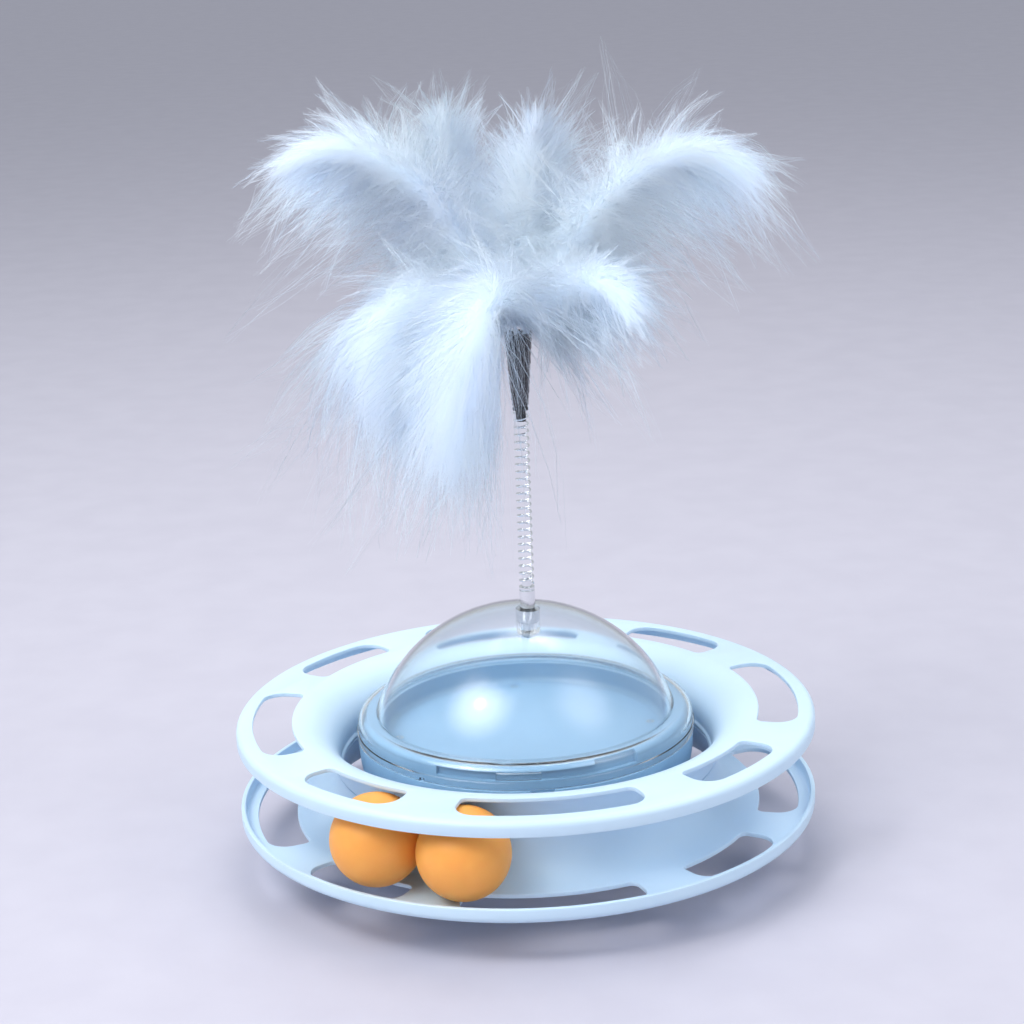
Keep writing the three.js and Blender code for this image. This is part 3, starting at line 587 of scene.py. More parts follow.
upper_ring = track_ring(1, upper_boss_height, upper_hole_depth)
lower_ring = track_ring(-1, lower_boss_height, lower_hole_depth)
finished("track_upper_ring", upper_ring, "base", track_plastic, ["upper_track"])
finished("track_lower_ring", lower_ring, "base", track_plastic, ["lower_track"])

# %% [markdown]
# ## The bowl
#
# The round bottom is a superellipse, fuller than a sphere, with a small flat foot. Inside stand posts for
# the collar and the counterweight, and outside four lugs carry the track. The rim has a notch at the front.

# %% Bowl sizes
bowl_height = extent("base_bowl")[1].z
bowl_wall = 2.2
bowl_fullness = 2.4
foot_radius = 18
foot_share = (foot_radius / body_radius) ** bowl_fullness
bowl_depth = bowl_height / (1 - foot_share) ** (1 / bowl_fullness)
notch_azimuth, notch_width, notch_depth, notch_corner = -89.8, 9.4, 5.5, 1.6
collar_screw_circle, weight_screw_circle = 57, 19
collar_ledge_bottom = extent("collar")[0].z + 1
collar_ledge_top = collar_ledge_bottom + 1.8
collar_post_radius, weight_post_radius = 4, 3.4
post_bore = 1.7
collar_bore_depth, weight_bore_depth = 12, 5.3
weight_seat = extent("counterweight")[0].z - 2 * half_seam
lug_top = track_middle - half_seam - lower_boss_height - 2 * half_seam
lug_bottom = lug_top - 3.2
lug_half = boss_radius + 0.9
lug_root = body_radius - 8


# %% Bowl
def bowl_curve(wall, end, steps=40):
    """The superellipse from the rim down, moved in by a wall's thickness."""
    power = 2 / bowl_fullness
    angles = np.linspace(0, end, steps + 1)
    radius, depth = body_radius - wall, bowl_depth - wall
    return [
        (radius * max(math.cos(a), 0) ** power, bowl_height - depth * math.sin(a) ** power) for a in angles
    ]


def rim_notch():
    """A cutter for the notch, with turned-out lips."""
    half = notch_width / 2
    lip = half + notch_corner
    outline = [
        (-half, -notch_depth), (half, -notch_depth),
        *arc(lip, -notch_corner, notch_corner, 180, 90, 8), (lip, OVERRUN), (-lip, OVERRUN),
        *arc(-lip, -notch_corner, notch_corner, 90, 0, 8),
    ]
    bm = prism(outline, body_radius - bowl_wall - OVERRUN, body_radius + OVERRUN)
    upright = Matrix(((0, 0, 1, 0), (1, 0, 0, 0), (0, 1, 0, bowl_height), (0, 0, 0, 1)))
    bmesh.ops.transform(bm, matrix=upright, verts=bm.verts)
    return at(bm, azimuth=notch_azimuth)


def bowl():
    outside = bowl_curve(0, math.acos(math.sqrt(foot_share)))
    outside[-1] = (foot_radius, 0)
    inside = bowl_curve(bowl_wall, math.pi / 2)
    inside[-1] = (0, inside[-1][1])
    inner_rim = body_radius - bowl_wall
    cavity = spun([(0, bowl_height + OVERRUN), (inner_rim, bowl_height + OVERRUN), *inside])
    collar_post = rod(collar_post_radius, 0, collar_ledge_bottom - 2 * half_seam)
    weight_post = rod(weight_post_radius, 0, weight_seat)
    cavity = cut(
        cavity,
        *[at(collar_post, collar_screw_circle, azimuth) for azimuth in quarters],
        *[at(weight_post, weight_screw_circle, azimuth) for azimuth in thirds],
    )
    lug_outline = [
        *arc(screw_circle, 0, lug_half, -90, 90, 20), (lug_root, lug_half), (lug_root, -lug_half),
    ]
    lug = prism(lug_outline, lug_bottom, lug_top)
    body = spun([(0, bowl_height), *outside, (0, 0)])
    body = joined(body, *[at(lug, azimuth=azimuth) for azimuth in diagonals])
    collar_hole = rod(post_bore, collar_ledge_top - collar_bore_depth, bowl_height)
    weight_hole = rod(post_bore, weight_seat - weight_bore_depth, bowl_height)
    lug_hole = rod(track_screw_bore, lug_bottom - OVERRUN, lug_top + OVERRUN)
    body = cut(body, cavity)
    body = cut(
        body,
        rim_notch(),
        *[at(lug_hole, screw_circle, azimuth) for azimuth in diagonals],
        *[at(collar_hole, collar_screw_circle, azimuth) for azimuth in quarters],
        *[at(weight_hole, weight_screw_circle, azimuth) for azimuth in thirds],
    )
    below_notch = bowl_height - notch_depth - 1
    return eased(body, rim_easing, where=lambda edge: min(vert.co.z for vert in edge.verts) > below_notch)


finished("round_bowl", bowl(), "base", bowl_plastic, ["base_bowl"])

# %% [markdown]
# ## The collar and the tray
#
# The collar plugs into the bowl and has three bayonet grooves, each with an entry that is open at the top.
# The tray is a shallow dish that rests on the collar's ledge.

# %% Collar
collar_radius = extent("collar")[1].x
collar_top = extent("collar")[1].z
collar_skirt_bottom = extent("collar")[0].z
collar_inner = collar_radius - 7
ledge_bore = collar_inner - 15
groove_bottom, groove_height, groove_depth = bowl_height + 4.1, 3.4, 1.8
groove_top = groove_bottom + groove_height
groove_start, groove_end, entry_angle = -126.4, -54.9, 16.5
collar_web, collar_wall, collar_clearance = 2, 3, 0.6
collar_round, collar_inner_round = 2.16, 1.4
skirt_inner = collar_radius + 0.6
skirt_radius = skirt_inner + 2


def ring_piece(inner, outer, start, end, low, high):
    """A piece of a ring between two radii, two azimuths and two heights."""
    return prism([*arc(0, 0, outer, start, end, 24), *arc(0, 0, inner, end, start, 24)], low, high)


def collar():
    web, wall_inside = collar_inner + collar_web, collar_radius - collar_wall
    plug_radius, roof = collar_radius - collar_clearance, collar_top - collar_web
    corner, inner_round = collar_round, collar_inner_round
    ring = spun([
        (ledge_bore, collar_ledge_bottom), (web, collar_ledge_bottom), (web, roof),
        (wall_inside, roof), (wall_inside, collar_skirt_bottom), (plug_radius, collar_skirt_bottom),
        (plug_radius, bowl_height - collar_clearance), (collar_radius, bowl_height),
        *arc(collar_radius - corner, collar_top - corner, corner, 0, 90, 8),
        *arc(collar_inner + inner_round, collar_top - inner_round, inner_round, 90, 180, 8),
        (collar_inner, collar_ledge_top), (ledge_bore, collar_ledge_top),
    ])
    floor, outside = collar_radius - groove_depth, collar_radius + OVERRUN
    entry_start = groove_end - entry_angle
    groove = ring_piece(floor, outside, groove_start, groove_end, groove_bottom, groove_top)
    entry = ring_piece(floor, outside, entry_start, groove_end, groove_bottom, collar_top + OVERRUN)
    hole = rod(post_bore, collar_ledge_bottom - OVERRUN, collar_ledge_top + OVERRUN, 24)
    ring = cut(ring, *[at(groove, azimuth=turn) for turn in around(3)])
    ring = cut(ring, *[at(entry, azimuth=turn) for turn in around(3)],
               *[at(hole, collar_screw_circle, azimuth) for azimuth in quarters])
    return eased(ring, collar_easing, segments=2)


finished("locking_collar", collar(), "base", bowl_plastic, ["collar"])


# %% Tray
tray_floor, tray_wall, tray_fillet = 1.6, 1.8, 3


def tray():
    low, high = extent("tray")
    radius, rim, floor_bottom = high.x, high.z, low.z
    floor_top, fillet = floor_bottom + tray_floor, tray_fillet
    inside = radius - tray_wall
    foot = collar_ledge_top + 2 * half_seam
    dish = spun([
        (0, floor_bottom), (inside, floor_bottom), (inside, foot), (radius, foot), (radius, rim),
        (inside, rim), *arc(inside - fillet, floor_top + fillet, fillet, 0, -90, 12), (0, floor_top),
    ])
    return eased(dish, tray_easing, segments=2)


finished("treat_tray", tray(), "base", tray_plastic, ["tray"])

# %% [markdown]
# ## Screws and counterweight
#
# All screws are pan heads with a cross recess. One function makes them, and they differ only in size.


# %% Screws
recess_reach_share, recess_depth_share = 0.55, 0.6


def pan_screw(shaft, length, head, height):
    """A screw with its head's underside at zero and its shaft pointing down."""
    crown = height / 2
    body = spun([
        (0, -length), (shaft / 2, -length), (shaft, shaft - length), (shaft, 0), (head, 0), (head, crown),
        *arc(head - crown, crown, crown, 0, 90, 6), (0, height),
    ], 28)
    blade, depth = head * recess_reach_share, height * recess_depth_share
    arm = prism(rectangle(blade, blade / 4), height - depth, height + OVERRUN)
    body = cut(body, arm)
    return cut(body, at(arm, azimuth=90))


def flipped(bm):
    """A copy, turned to point up."""
    copy = bm.copy()
    bmesh.ops.transform(copy, matrix=Matrix.Rotation(math.pi, 4, "X"), verts=copy.verts)
    return copy


# each set's name, azimuths, circle and extent, its shaft, head and head height, and whether it points up
screw_sets = [
    ("weight_screw", thirds, weight_screw_circle, extent("weight_screw_1"), 1.4, 2.7, 1.8, False),
    ("collar_screw", quarters, collar_screw_circle, extent("collar_screw_1"), 1.4, 2.7, 1.6, False),
    ("track_screw", diagonals, screw_circle, extent("track_screw_1"), 1.25, 2.4, 1.8, True),
]
for kind, azimuths, circle, (low, high), shaft, head, height, upward in screw_sets:
    screw = pan_screw(shaft, high.z - low.z - height, head, height)
    seat = low.z + height if upward else high.z - height
    for number, azimuth in enumerate(azimuths, 1):
        copy = at(flipped(screw) if upward else screw, circle, azimuth, seat)
        finished(f"{kind}_head_{number}", copy, "base", screw_steel, [f"{kind}_{number}"])

frame["nodes"]["counterweight"].material_slots[0].material = screw_steel

# %% [markdown]
# ## The balls
#
# Two hollow halves are welded at an equator. A faint raised seam shows when the ball turns that way.


# %% Balls
seam_half_width, seam_rise_share = 0.5, 0.0015


def hollow_ball(node, tilt):
    low, high = extent(node)
    centre = (low + high) / 2
    radius = (high.z - low.z) / 2
    bm = bmesh.new()
    bmesh.ops.create_uvsphere(bm, u_segments=72, v_segments=48, radius=radius)
    for vert in bm.verts:
        seam = math.exp(-((vert.co.z / seam_half_width) ** 2))
        vert.co *= 1 - seam_rise_share * (1 - seam)
    bmesh.ops.transform(bm, matrix=Matrix.Translation(centre) @ tilt, verts=bm.verts)
    return bm


for side, turn in (("right", 62), ("left", 118)):
    tilt = Matrix.Rotation(math.radians(turn), 4, (0.6, 0.5, 0.3))
    finished(f"rolling_ball_{side}", hollow_ball(f"ball_{side}", tilt), f"{side}_ball",
             ball_plastic, [f"ball_{side}"])

# %% [markdown]
# ## The dome
#
# One clear moulding: a spherical cap, a shoulder, a skirt that slips over the collar, and a flange that
# hovers over the bowl's rim. Three dogs inside the skirt run in the collar's grooves.

# %% Dome
dome_wall = 2
dome_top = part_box("dome")[1].z / MM
flange_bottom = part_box("dome")[0].z / MM
flange_proud, flange_height = 0.4, 3.6
shoulder_underside = collar_top + 2 * half_seam
shoulder_top = shoulder_underside + dome_wall
dome_foot = collar_inner + 1.1
dome_rise = dome_top - shoulder_top
dome_radius = (dome_foot ** 2 + dome_rise ** 2) / (2 * dome_rise)
dome_centre = dome_top - dome_radius
shoulder_round_share = 0.62
shoulder_round = (skirt_radius - dome_foot) * shoulder_round_share
wand_x = 2.8
dome_boss_radius, stem_bore, step_bore = 5.3, 3.75, 2.7
dome_boss_bottom = dome_top - dome_wall - 9.5
dome_boss_step = dome_top - dome_wall - 6
dog_centre, dog_angle, dog_gap = -97.6, 15, 0.4
nick_azimuth, nick_half_depth, nick_half_width, nick_height = -131.4, 1.2, 1.1, 1.4


def dome():
    inner = dome_radius - dome_wall
    outer_start = math.degrees(math.asin((shoulder_top - dome_centre) / dome_radius))
    inner_end = math.degrees(math.asin((shoulder_underside - dome_centre) / inner))
    row, height = skirt_radius - shoulder_round, shoulder_top - shoulder_round
    flange_radius, flange_top = skirt_radius + flange_proud, flange_bottom + flange_height
    outline = [
        *arc(0, dome_centre, inner, 90, inner_end, 44),
        *arc(row, height, shoulder_round - dome_wall, 90, 0, 10),
        (skirt_inner, flange_bottom), (flange_radius, flange_bottom),
        (flange_radius, flange_top - flange_proud), (skirt_radius, flange_top),
        *arc(row, height, shoulder_round, 0, 90, 14),
        *arc(0, dome_centre, dome_radius, outer_start, 90, 44),
    ]
    outline[0], outline[-1] = (0, outline[0][1]), (0, outline[-1][1])
    shell = spun(outline)
    floor = collar_radius - groove_depth
    dog = ring_piece(
        floor + dog_gap, skirt_inner + dome_wall / 2, dog_centre - dog_angle / 2, dog_centre + dog_angle / 2,
        groove_bottom + dog_gap, groove_top - dog_gap,
    )
    boss = at(rod(dome_boss_radius, dome_boss_bottom, dome_top - dome_wall / 2, 48), wand_x)
    shell = joined(shell, boss, *[at(dog, azimuth=turn) for turn in around(3)])
    bore = at(rod(stem_bore, dome_boss_step, dome_top + OVERRUN, 48), wand_x)
    narrow_bore = at(rod(step_bore, dome_boss_bottom - OVERRUN, dome_top, 32), wand_x)
    nick_outline = rectangle(nick_half_depth, nick_half_width)
    nick = prism(nick_outline, flange_bottom - OVERRUN, flange_bottom + nick_height)
    return cut(shell, bore, narrow_bore, at(nick, flange_radius, nick_azimuth))


finished("clear_dome", dome(), "cover", clear_plastic, ["dome"])

# %% [markdown]
# ## The wand
#
# A chromed stem stands in the dome's boss, held from below by a washer and a screw. The coil spring sits
# on it. A full turn of wire is the same turn and climb again and again, which is what a spin with an
# offset does. The spring is made in two halves of half the turns each.


# %% Stem, washer and screw
stem_radius, neck_radius, peg_radius, peg_length = 3.45, 2.4, 2.2, 6
stem_groove_floor, stem_groove_low, stem_groove_high = 3.1, 1.7, 1.1
washer_radius, washer_bore = 5, 1.4
stem_screw_shaft, stem_screw_head, stem_screw_height = 1.1, 2.6, 1.7


def stem():
    low, high = extent("wand_stem")
    top = high.z - peg_length
    neck_top = dome_boss_step + 2 * half_seam
    body = spun([
        (0, low.z), (neck_radius, low.z), (neck_radius, neck_top), (stem_radius, neck_top),
        (stem_radius, top), (peg_radius, top), (peg_radius, high.z), (0, high.z),
    ], 64)
    groove_out = stem_radius + OVERRUN
    groove_low, groove_high = top - stem_groove_low, top - stem_groove_high
    groove = spun([
        (stem_groove_floor, groove_low), (groove_out, groove_low), (groove_out, groove_high),
        (stem_groove_floor, groove_high),
    ], 64)
    return at(eased(cut(body, groove), turned_easing, segments=2), wand_x)


def washer():
    low, high = extent("stem_washer")
    disc = spun([
        (washer_bore, low.z), (washer_radius, low.z), (washer_radius, high.z), (washer_bore, high.z),
    ], 48)
    return at(eased(disc, turned_easing, segments=2), wand_x)


finished("turned_stem", stem(), "cover", chromed_steel, ["wand_stem"])
finished("stem_washer_ring", washer(), "cover", screw_steel, ["stem_washer"])
screw_low, screw_high = extent("stem_screw")
screw_seat = screw_low.z + stem_screw_height
stem_screw = pan_screw(stem_screw_shaft, screw_high.z - screw_seat, stem_screw_head, stem_screw_height)
stem_screw = at(flipped(stem_screw), wand_x, 0, screw_seat)
finished("stem_screw_head", stem_screw, "cover", screw_steel, ["stem_screw"])

# %% Coil spring
wire_radius = 0.425
coil_radius = stem_radius - wire_radius
spring_low, spring_high = (corner.z for corner in extent("coil_spring"))
spring_turns = 23.5
wire_steps, wire_sides = 30, 10
spring_start = spring_low + 2 * wire_radius
spring_pitch = (spring_high - spring_low - 4 * wire_radius) / spring_turns
wand_joints = [joint for joint in frame["joints"] if joint["name"].startswith("wand")]
sway_height, nod_height = (joint["pos_m"][2] / MM for joint in wand_joints)


def helix(first_turn, turns):
    """A length of coiled wire that starts after some turns of the whole spring."""
    bm = bmesh.new()
    lean = math.atan(spring_pitch / (math.tau * coil_radius))
    start = Matrix.Translation((coil_radius, 0, spring_start))
    tilted = Matrix.Rotation(math.pi / 2 + lean, 4, "X")
    ring = bmesh.ops.create_circle(bm, cap_ends=False, segments=wire_sides, radius=wire_radius,
                                   matrix=start @ tilted)["verts"]
    edges = list({edge for vert in ring for edge in vert.link_edges})
    climb = (0, 0, spring_pitch / wire_steps)
    bmesh.ops.spin(bm, geom=ring + edges, cent=(0, 0, 0), axis=(0, 0, 1), dvec=climb,
                   angle=math.tau * turns, steps=round(turns * wire_steps))
    bmesh.ops.holes_fill(bm, edges=[edge for edge in bm.edges if edge.is_boundary], sides=0)
    bmesh.ops.recalc_face_normals(bm, faces=bm.faces)
    place = Matrix.Translation((wand_x, 0, first_turn * spring_pitch))
    bmesh.ops.transform(bm, matrix=place @ Matrix.Rotation(math.tau * first_turn, 4, "Z"), verts=bm.verts)
    return bm


def wand_point(height):
    return (wand_x * MM, 0, height * MM)


half_turns = spring_turns / 2
bend_reach = 16
for name, first, bodies, height in (
    ("spring_lower_half", 0, ("cover", "spring"), sway_height),
    ("spring_upper_half", half_turns, ("spring", "feathers"), nod_height),
):
    ends = (wand_point(height - bend_reach), wand_point(height + bend_reach))
    wire = helix(first, half_turns)
    finished(name, wire, (*bodies, *ends), chromed_steel, ["coil_spring"])


# %% Plug
plug_flange_height, plug_top_radius = 1.2, 2.1
plug_peg_length = 5


def plug():
    low, high = extent("spring_plug")
    flange_low = low.z + plug_peg_length
    flange_high = flange_low + plug_flange_height
    body = spun([
        (0, low.z), (peg_radius, low.z), (peg_radius, flange_low), (stem_radius, flange_low),
        (stem_radius, flange_high), (plug_top_radius, flange_high), (plug_top_radius, high.z), (0, high.z),
    ], 48)
    return at(eased(body, collar_easing, segments=2), wand_x)


finished("moulded_plug", plug(), "feathers", plug_plastic, ["spring_plug"])

# %% [markdown]
# The feathers' shafts are bound with tape, wound upwards in overlapping turns: each turn steps out over the
# last, and the tape is stretched into shallow folds.

# %% Binding
binding_low, binding_high = (corner.z for corner in extent("quill_binding"))
binding_bottom_radius, binding_top_radius, binding_wall = 3.6, 6.2, 0.7
binding_round, binding_rows = 1.2, 70
rows_in_rounding = 3
tape_pitch, tape_step, tape_inset = 6.5, 0.35, 0.25
folds, fold_height, fold_sway = 5, 0.12, 1.3


def binding_radius(height):
    share = (height - binding_low) / (binding_high - binding_low)
    return binding_bottom_radius + (binding_top_radius - binding_bottom_radius) * share


def binding():
    heights = np.linspace(binding_low, binding_high, binding_rows + 1)
    wall = [(binding_radius(height), height) for height in heights]
    rounding_row, rounding_height = binding_bottom_radius - binding_round, binding_low + binding_round
    rounding = arc(rounding_row, rounding_height, binding_round, -90, 0, 6)
    inner = [(radius - binding_wall, height) for radius, height in (wall[-1], wall[0])]
    bm = spun([*rounding[:-1], *wall[rows_in_rounding:], *inner], 96)
    for vert in bm.verts:
        radius = math.hypot(vert.co.x, vert.co.y)
        if radius > binding_radius(vert.co.z) - binding_wall / 2:
            azimuth = math.atan2(vert.co.y, vert.co.x)
            wrap = ((vert.co.z - binding_low) / tape_pitch - azimuth / math.tau) % 1
            fold = math.sin(folds * azimuth + fold_sway * math.sin(vert.co.z)) * math.sin(math.pi * wrap)
            rise = tape_step * (1 - wrap) + fold_height * fold - tape_inset
            vert.co += rise * Vector((math.cos(azimuth), math.sin(azimuth), 0))
    return at(bm, wand_x)


finished("tape_binding", binding(), "feathers", black_tape, ["quill_binding"])

# %% [markdown]
# ## The feathers
#
# A marabou plume is a thin shaft with long downy barbs on all sides. Each plume is built in that order:
# the shaft's curve first, then the barbs that leave it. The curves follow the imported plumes, except that
# four of them are drawn a little nearer the photograph. A shaft stops short of its curve's end, because
# the last barbs reach past it.

# %% Plume paths
feather_spread, feather_rise = 118, 104
# each plume's azimuth and the four corners of its curve, in shares of the spread and the rise
plumes = {
    "right": (0, [(0.09, 0, 0.1), (0.28, 0, 0.62), (0.7, 0.02, 0.98), (0.98, 0.02, 0.44)]),
    "upper_right": (50, [(0.03, 0.07, 0.15), (0.03, 0.13, 0.42), (0.1, 0.16, 0.7), (0.11, 0.1, 0.95)]),
    "upper_left": (115, [(-0.06, 0.1, 0.12), (-0.17, 0.3, 0.4), (-0.28, 0.32, 0.72), (-0.21, 0.14, 0.99)]),
    "left": (180, [(-0.09, 0.01, 0.1), (-0.24, 0.01, 0.66), (-0.56, 0, 1.02), (-0.97, 0, 0.62)]),
    "left_drooping": (
        207, [(-0.09, -0.06, 0.05), (-0.44, -0.22, 0.38), (-0.68, -0.3, 0.1), (-0.46, -0.29, -0.62)],
    ),
    "front_drooping": (
        256, [(-0.02, -0.11, 0.06), (-0.08, -0.42, 0.46), (-0.32, -0.66, 0), (-0.29, -0.52, -0.6)],
    ),
    "right_drooping": (312, [(0.08, -0.07, 0.05), (0.2, -0.25, 0.35), (0.4, -0.42, 0.3), (0.39, -0.42, 0)]),
}


def along(corners, t):
    """Points and directions on a cubic curve."""
    t = np.asarray(t, float)[:, None]
    a, b, c, d = (np.array(corner) for corner in corners)
    point = a * (1 - t) ** 3 + 3 * b * t * (1 - t) ** 2 + 3 * c * t ** 2 * (1 - t) + d * t ** 3
    slope = 3 * ((b - a) * (1 - t) ** 2 + 2 * (c - b) * t * (1 - t) + (d - c) * t ** 2)
    return point, unit(slope)


def unit(vectors):
    return vectors / np.linalg.norm(vectors, axis=-1, keepdims=True)


def plume_corners(shares):
    """A plume's curve in millimetres, from the shares of the spread and the rise."""
    scale = np.array([feather_spread, feather_spread, feather_rise])
    return [np.array([wand_x, 0, binding_high]) + np.array(share) * scale for share in shares]


# %% [markdown]
# A down barb is flat, because its fine branches lie in two rows. So each one is a ribbon: a poly curve
# with a straight line as its bevel object, turned by a tilt of its own. A shaft has a round section instead.

# %% Ribbons and shafts from curves
def section(name, corners, closed):
    """A small flat curve, a millimetre in radius, that others are drawn along."""
    outline = bpy.data.curves.new(name, "CURVE")
    outline.dimensions = "2D"
    spline = outline.splines.new("POLY")
    spline.points.add(len(corners) - 1)
    for point, angle in zip(spline.points, np.radians(corners)):
        point.co = (MM * math.cos(angle), MM * math.sin(angle), 0, 1)
    spline.use_cyclic_u = closed
    return bpy.data.objects.new(name, outline)


flat_section = section("flat_section", (180, 0), False)
round_section = section("round_section", around(8), True)


def swept(name, lines, radii, tilts, profile):
    """Many lines drawn out with one section, as one mesh. Points and radii are in millimetres."""
    curve = bpy.data.curves.new(name, "CURVE")
    curve.dimensions = "3D"
    curve.bevel_mode = "OBJECT"
    curve.bevel_object = profile
    curve.use_fill_caps = profile is round_section
    for line, radius, tilt in zip(lines, radii, tilts):
        spline = curve.splines.new("POLY")
        spline.points.add(len(line) - 1)
        spline.points.foreach_set("co", np.c_[line * MM, np.ones(len(line))].ravel())
        spline.points.foreach_set("radius", radius)
        spline.points.foreach_set("tilt", np.full(len(line), tilt))
    drawn = bpy.data.objects.new(name, curve)
    bpy.context.scene.collection.objects.link(drawn)
    depsgraph = bpy.context.evaluated_depsgraph_get()
    mesh = bpy.data.meshes.new_from_object(drawn.evaluated_get(depsgraph))
    bpy.data.objects.remove(drawn)
    bpy.data.curves.remove(curve)
    mesh.name = name
    made = bpy.data.objects.new(name, mesh)
    bpy.context.scene.collection.objects.link(made)
    made.data.shade_smooth()
    return made


def soft_piece(made, material, node):
    made.data.materials.clear()
    made.data.materials.append(material)
    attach(made, "feathers")
    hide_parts(node)
    print(f"{made.name}: {len(made.data.polygons)} faces")


# %% [markdown]
# Barbs leave the shaft steeply at its foot and lie forward at its tip. They cling in locks: every barb of a
# lock starts on its own and bends to a shared tip, which is what makes the pointed wisps at the edge.
# Between them, short curly fluff fills the plume's middle.

# %% Barbs
BARB_POINTS = 5
locks_per_plume = 800
barbs_per_lock = 19
fluff_per_plume = 6600
lock_root, lock_tip = 0.062, 0.024
fluff_root, fluff_tip = 0.055, 0.024
fluff_shortest, fluff_longest = 8, 26
thickness_spread = 0.42
lowest_tip = 155
SPINE_POINTS = 40
upward_turn = 4.0

# a lock's length and the share of it at the shaft's foot, its sag, sideways sweep and curl, and where along
# the curve the first and last ones stand
barb_habits = {
    "right": (46, 0.9, 0.8, 0, 0.2, 0.02, 0.78),
    "upper_right": (42, 0.9, 0.05, 0.15, 0.22, 0.06, 0.8),
    "upper_left": (43, 0.9, 0.1, 0, 0.22, 0.06, 0.8),
    "left": (42, 0.9, 0.6, 0, 0.2, 0.02, 0.78),
    "left_drooping": (46, 0.85, 1.4, 0.15, 0.22, 0.02, 0.62),
    "front_drooping": (58, 0.8, 1.1, -0.2, 0.2, 0.02, 0.68),
    "right_drooping": (27, 1.0, 0.5, 0.1, 0.22, 0.02, 0.6),
}


def bowed(start, middle, end):
    """Points on many quadratic curves at once."""
    s = np.linspace(0, 1, BARB_POINTS)[None, :, None]
    start, middle, end = (points[:, None, :] for points in (start, middle, end))
    return start * (1 - s) ** 2 + 2 * middle * s * (1 - s) + end * s ** 2


lean_stations = [0, 0.3, 0.7, 1]
lean_angles = np.radians([84, 62, 44, 16])
length_stations = [0, 0.4, 0.75, 1]
flatness_share, rising_shortens_share = 0.8, 0.4
bend_share, end_share, own_bend_share = 0.42, 0.55, 0.48
lean_spread, length_spread, heading_spread = 0.16, 0.31, 0.22
root_spread_share, root_spread, tip_spread_share = 0.02, 0.4, 0.012
early_end_share, early_end_power = 0.4, 1.5


def lock_lines(name, rng):
    """The long barbs of one plume, lock by lock."""
    azimuth, shares = plumes[name]
    length, root_share, sag, sweep, curl, first, last = barb_habits[name]
    corners = plume_corners(shares)
    side = np.array([-math.sin(math.radians(azimuth)), math.cos(math.radians(azimuth)), 0])
    count = locks_per_plume

    share = rng.beta(1.0, 1.15, count)
    t = first + (last - first) * share
    turn = rng.uniform(0, math.tau, count)
    lean = np.interp(share, lean_stations, lean_angles) + rng.normal(0, lean_spread, count)
    root, tangent = along(corners, t)
    across = unit(side - tangent * (tangent @ side)[:, None])
    up = np.cross(tangent, across)
    out = across * np.cos(turn)[:, None] * flatness_share + up * np.sin(turn)[:, None]
    heading = unit(tangent * np.cos(lean)[:, None] + out * np.sin(lean)[:, None])
    size = length * np.interp(share, length_stations, [root_share, 1, 0.85, 0.5])
    size = size * np.exp(rng.normal(0, length_spread, count)) * (1 - rising_shortens_share * heading[:, 2])
    fall = np.array([sweep, 0, -1]) * (sag * rng.uniform(0.5, 1.5, count))[:, None]
    ending = unit(heading + fall + rng.normal(0, curl, (count, 3)))
    tip = root + (heading * bend_share + ending * end_share) * size[:, None]

    lock = np.repeat(np.arange(count), barbs_per_lock)
    total = len(lock)
    own_root, _ = along(corners, np.clip(t[lock] + rng.normal(0, root_spread_share, total), 0, last))
    own_root = own_root + rng.normal(0, root_spread, (total, 3))
    own_heading = unit(heading[lock] + rng.normal(0, heading_spread, (total, 3)))
    own_size = size[lock][:, None]
    early_end = rng.uniform(0, early_end_share, total)[:, None] ** early_end_power
    own_end = tip[lock] - ending[lock] * own_size * early_end
    own_end = own_end + rng.normal(0, tip_spread_share, (total, 3)) * own_size
    return bowed(own_root, own_root + own_heading * own_size * own_bend_share, own_end)


fluff_lean, fluff_end_share, fluff_bend_share, fluff_curl = 0.4, 0.22, 0.5, 0.5


def fluff_lines(name, rng):
    """The short curly barbs in the middle of one plume."""
    corners = plume_corners(plumes[name][1])
    _, root_share, *_, first, last = barb_habits[name]
    count = fluff_per_plume
    share = rng.beta(0.9, 1.3, count)
    root, tangent = along(corners, first + (last - first) * share)
    heading = unit(rng.normal(0, 1, (count, 3)) + tangent * fluff_lean)
    shortened = np.interp(share, [0, 0.4, 1], [root_share, 0.85, 0.5])
    size = (rng.uniform(fluff_shortest, fluff_longest, count) * shortened)[:, None]
    end = root + heading * size + rng.normal(0, fluff_end_share, (count, 3)) * size
    bend = heading + rng.normal(0, fluff_curl, (count, 3))
    return bowed(root, root + bend * size * fluff_bend_share, end)


# The camera looks down and a little from the left, so what stands ahead of the wand is seen further
# down and to one side.
seen_slant, seen_rise = 0.08, 0.38
ahead_of_wand, binding_margin, bare_drop, kept_share = 2, 7.5, 3, 0.05


def parted(lines, rng):
    """Leaves out most barbs that would hide the binding and the spring, and all that hang too low."""
    x, y, z = lines[:, :, 0], lines[:, :, 1], lines[:, :, 2]
    ahead = y < -ahead_of_wand
    seen_x = x - seen_slant * y - wand_x
    seen_z = z + seen_rise * y
    hides = (ahead & (np.abs(seen_x) < binding_margin) & (seen_z < binding_high - bare_drop)).any(axis=1)
    hangs_low = (z < lowest_tip).any(axis=1)
    return lines[~hangs_low & (~hides | (rng.random(len(lines)) < kept_share))]


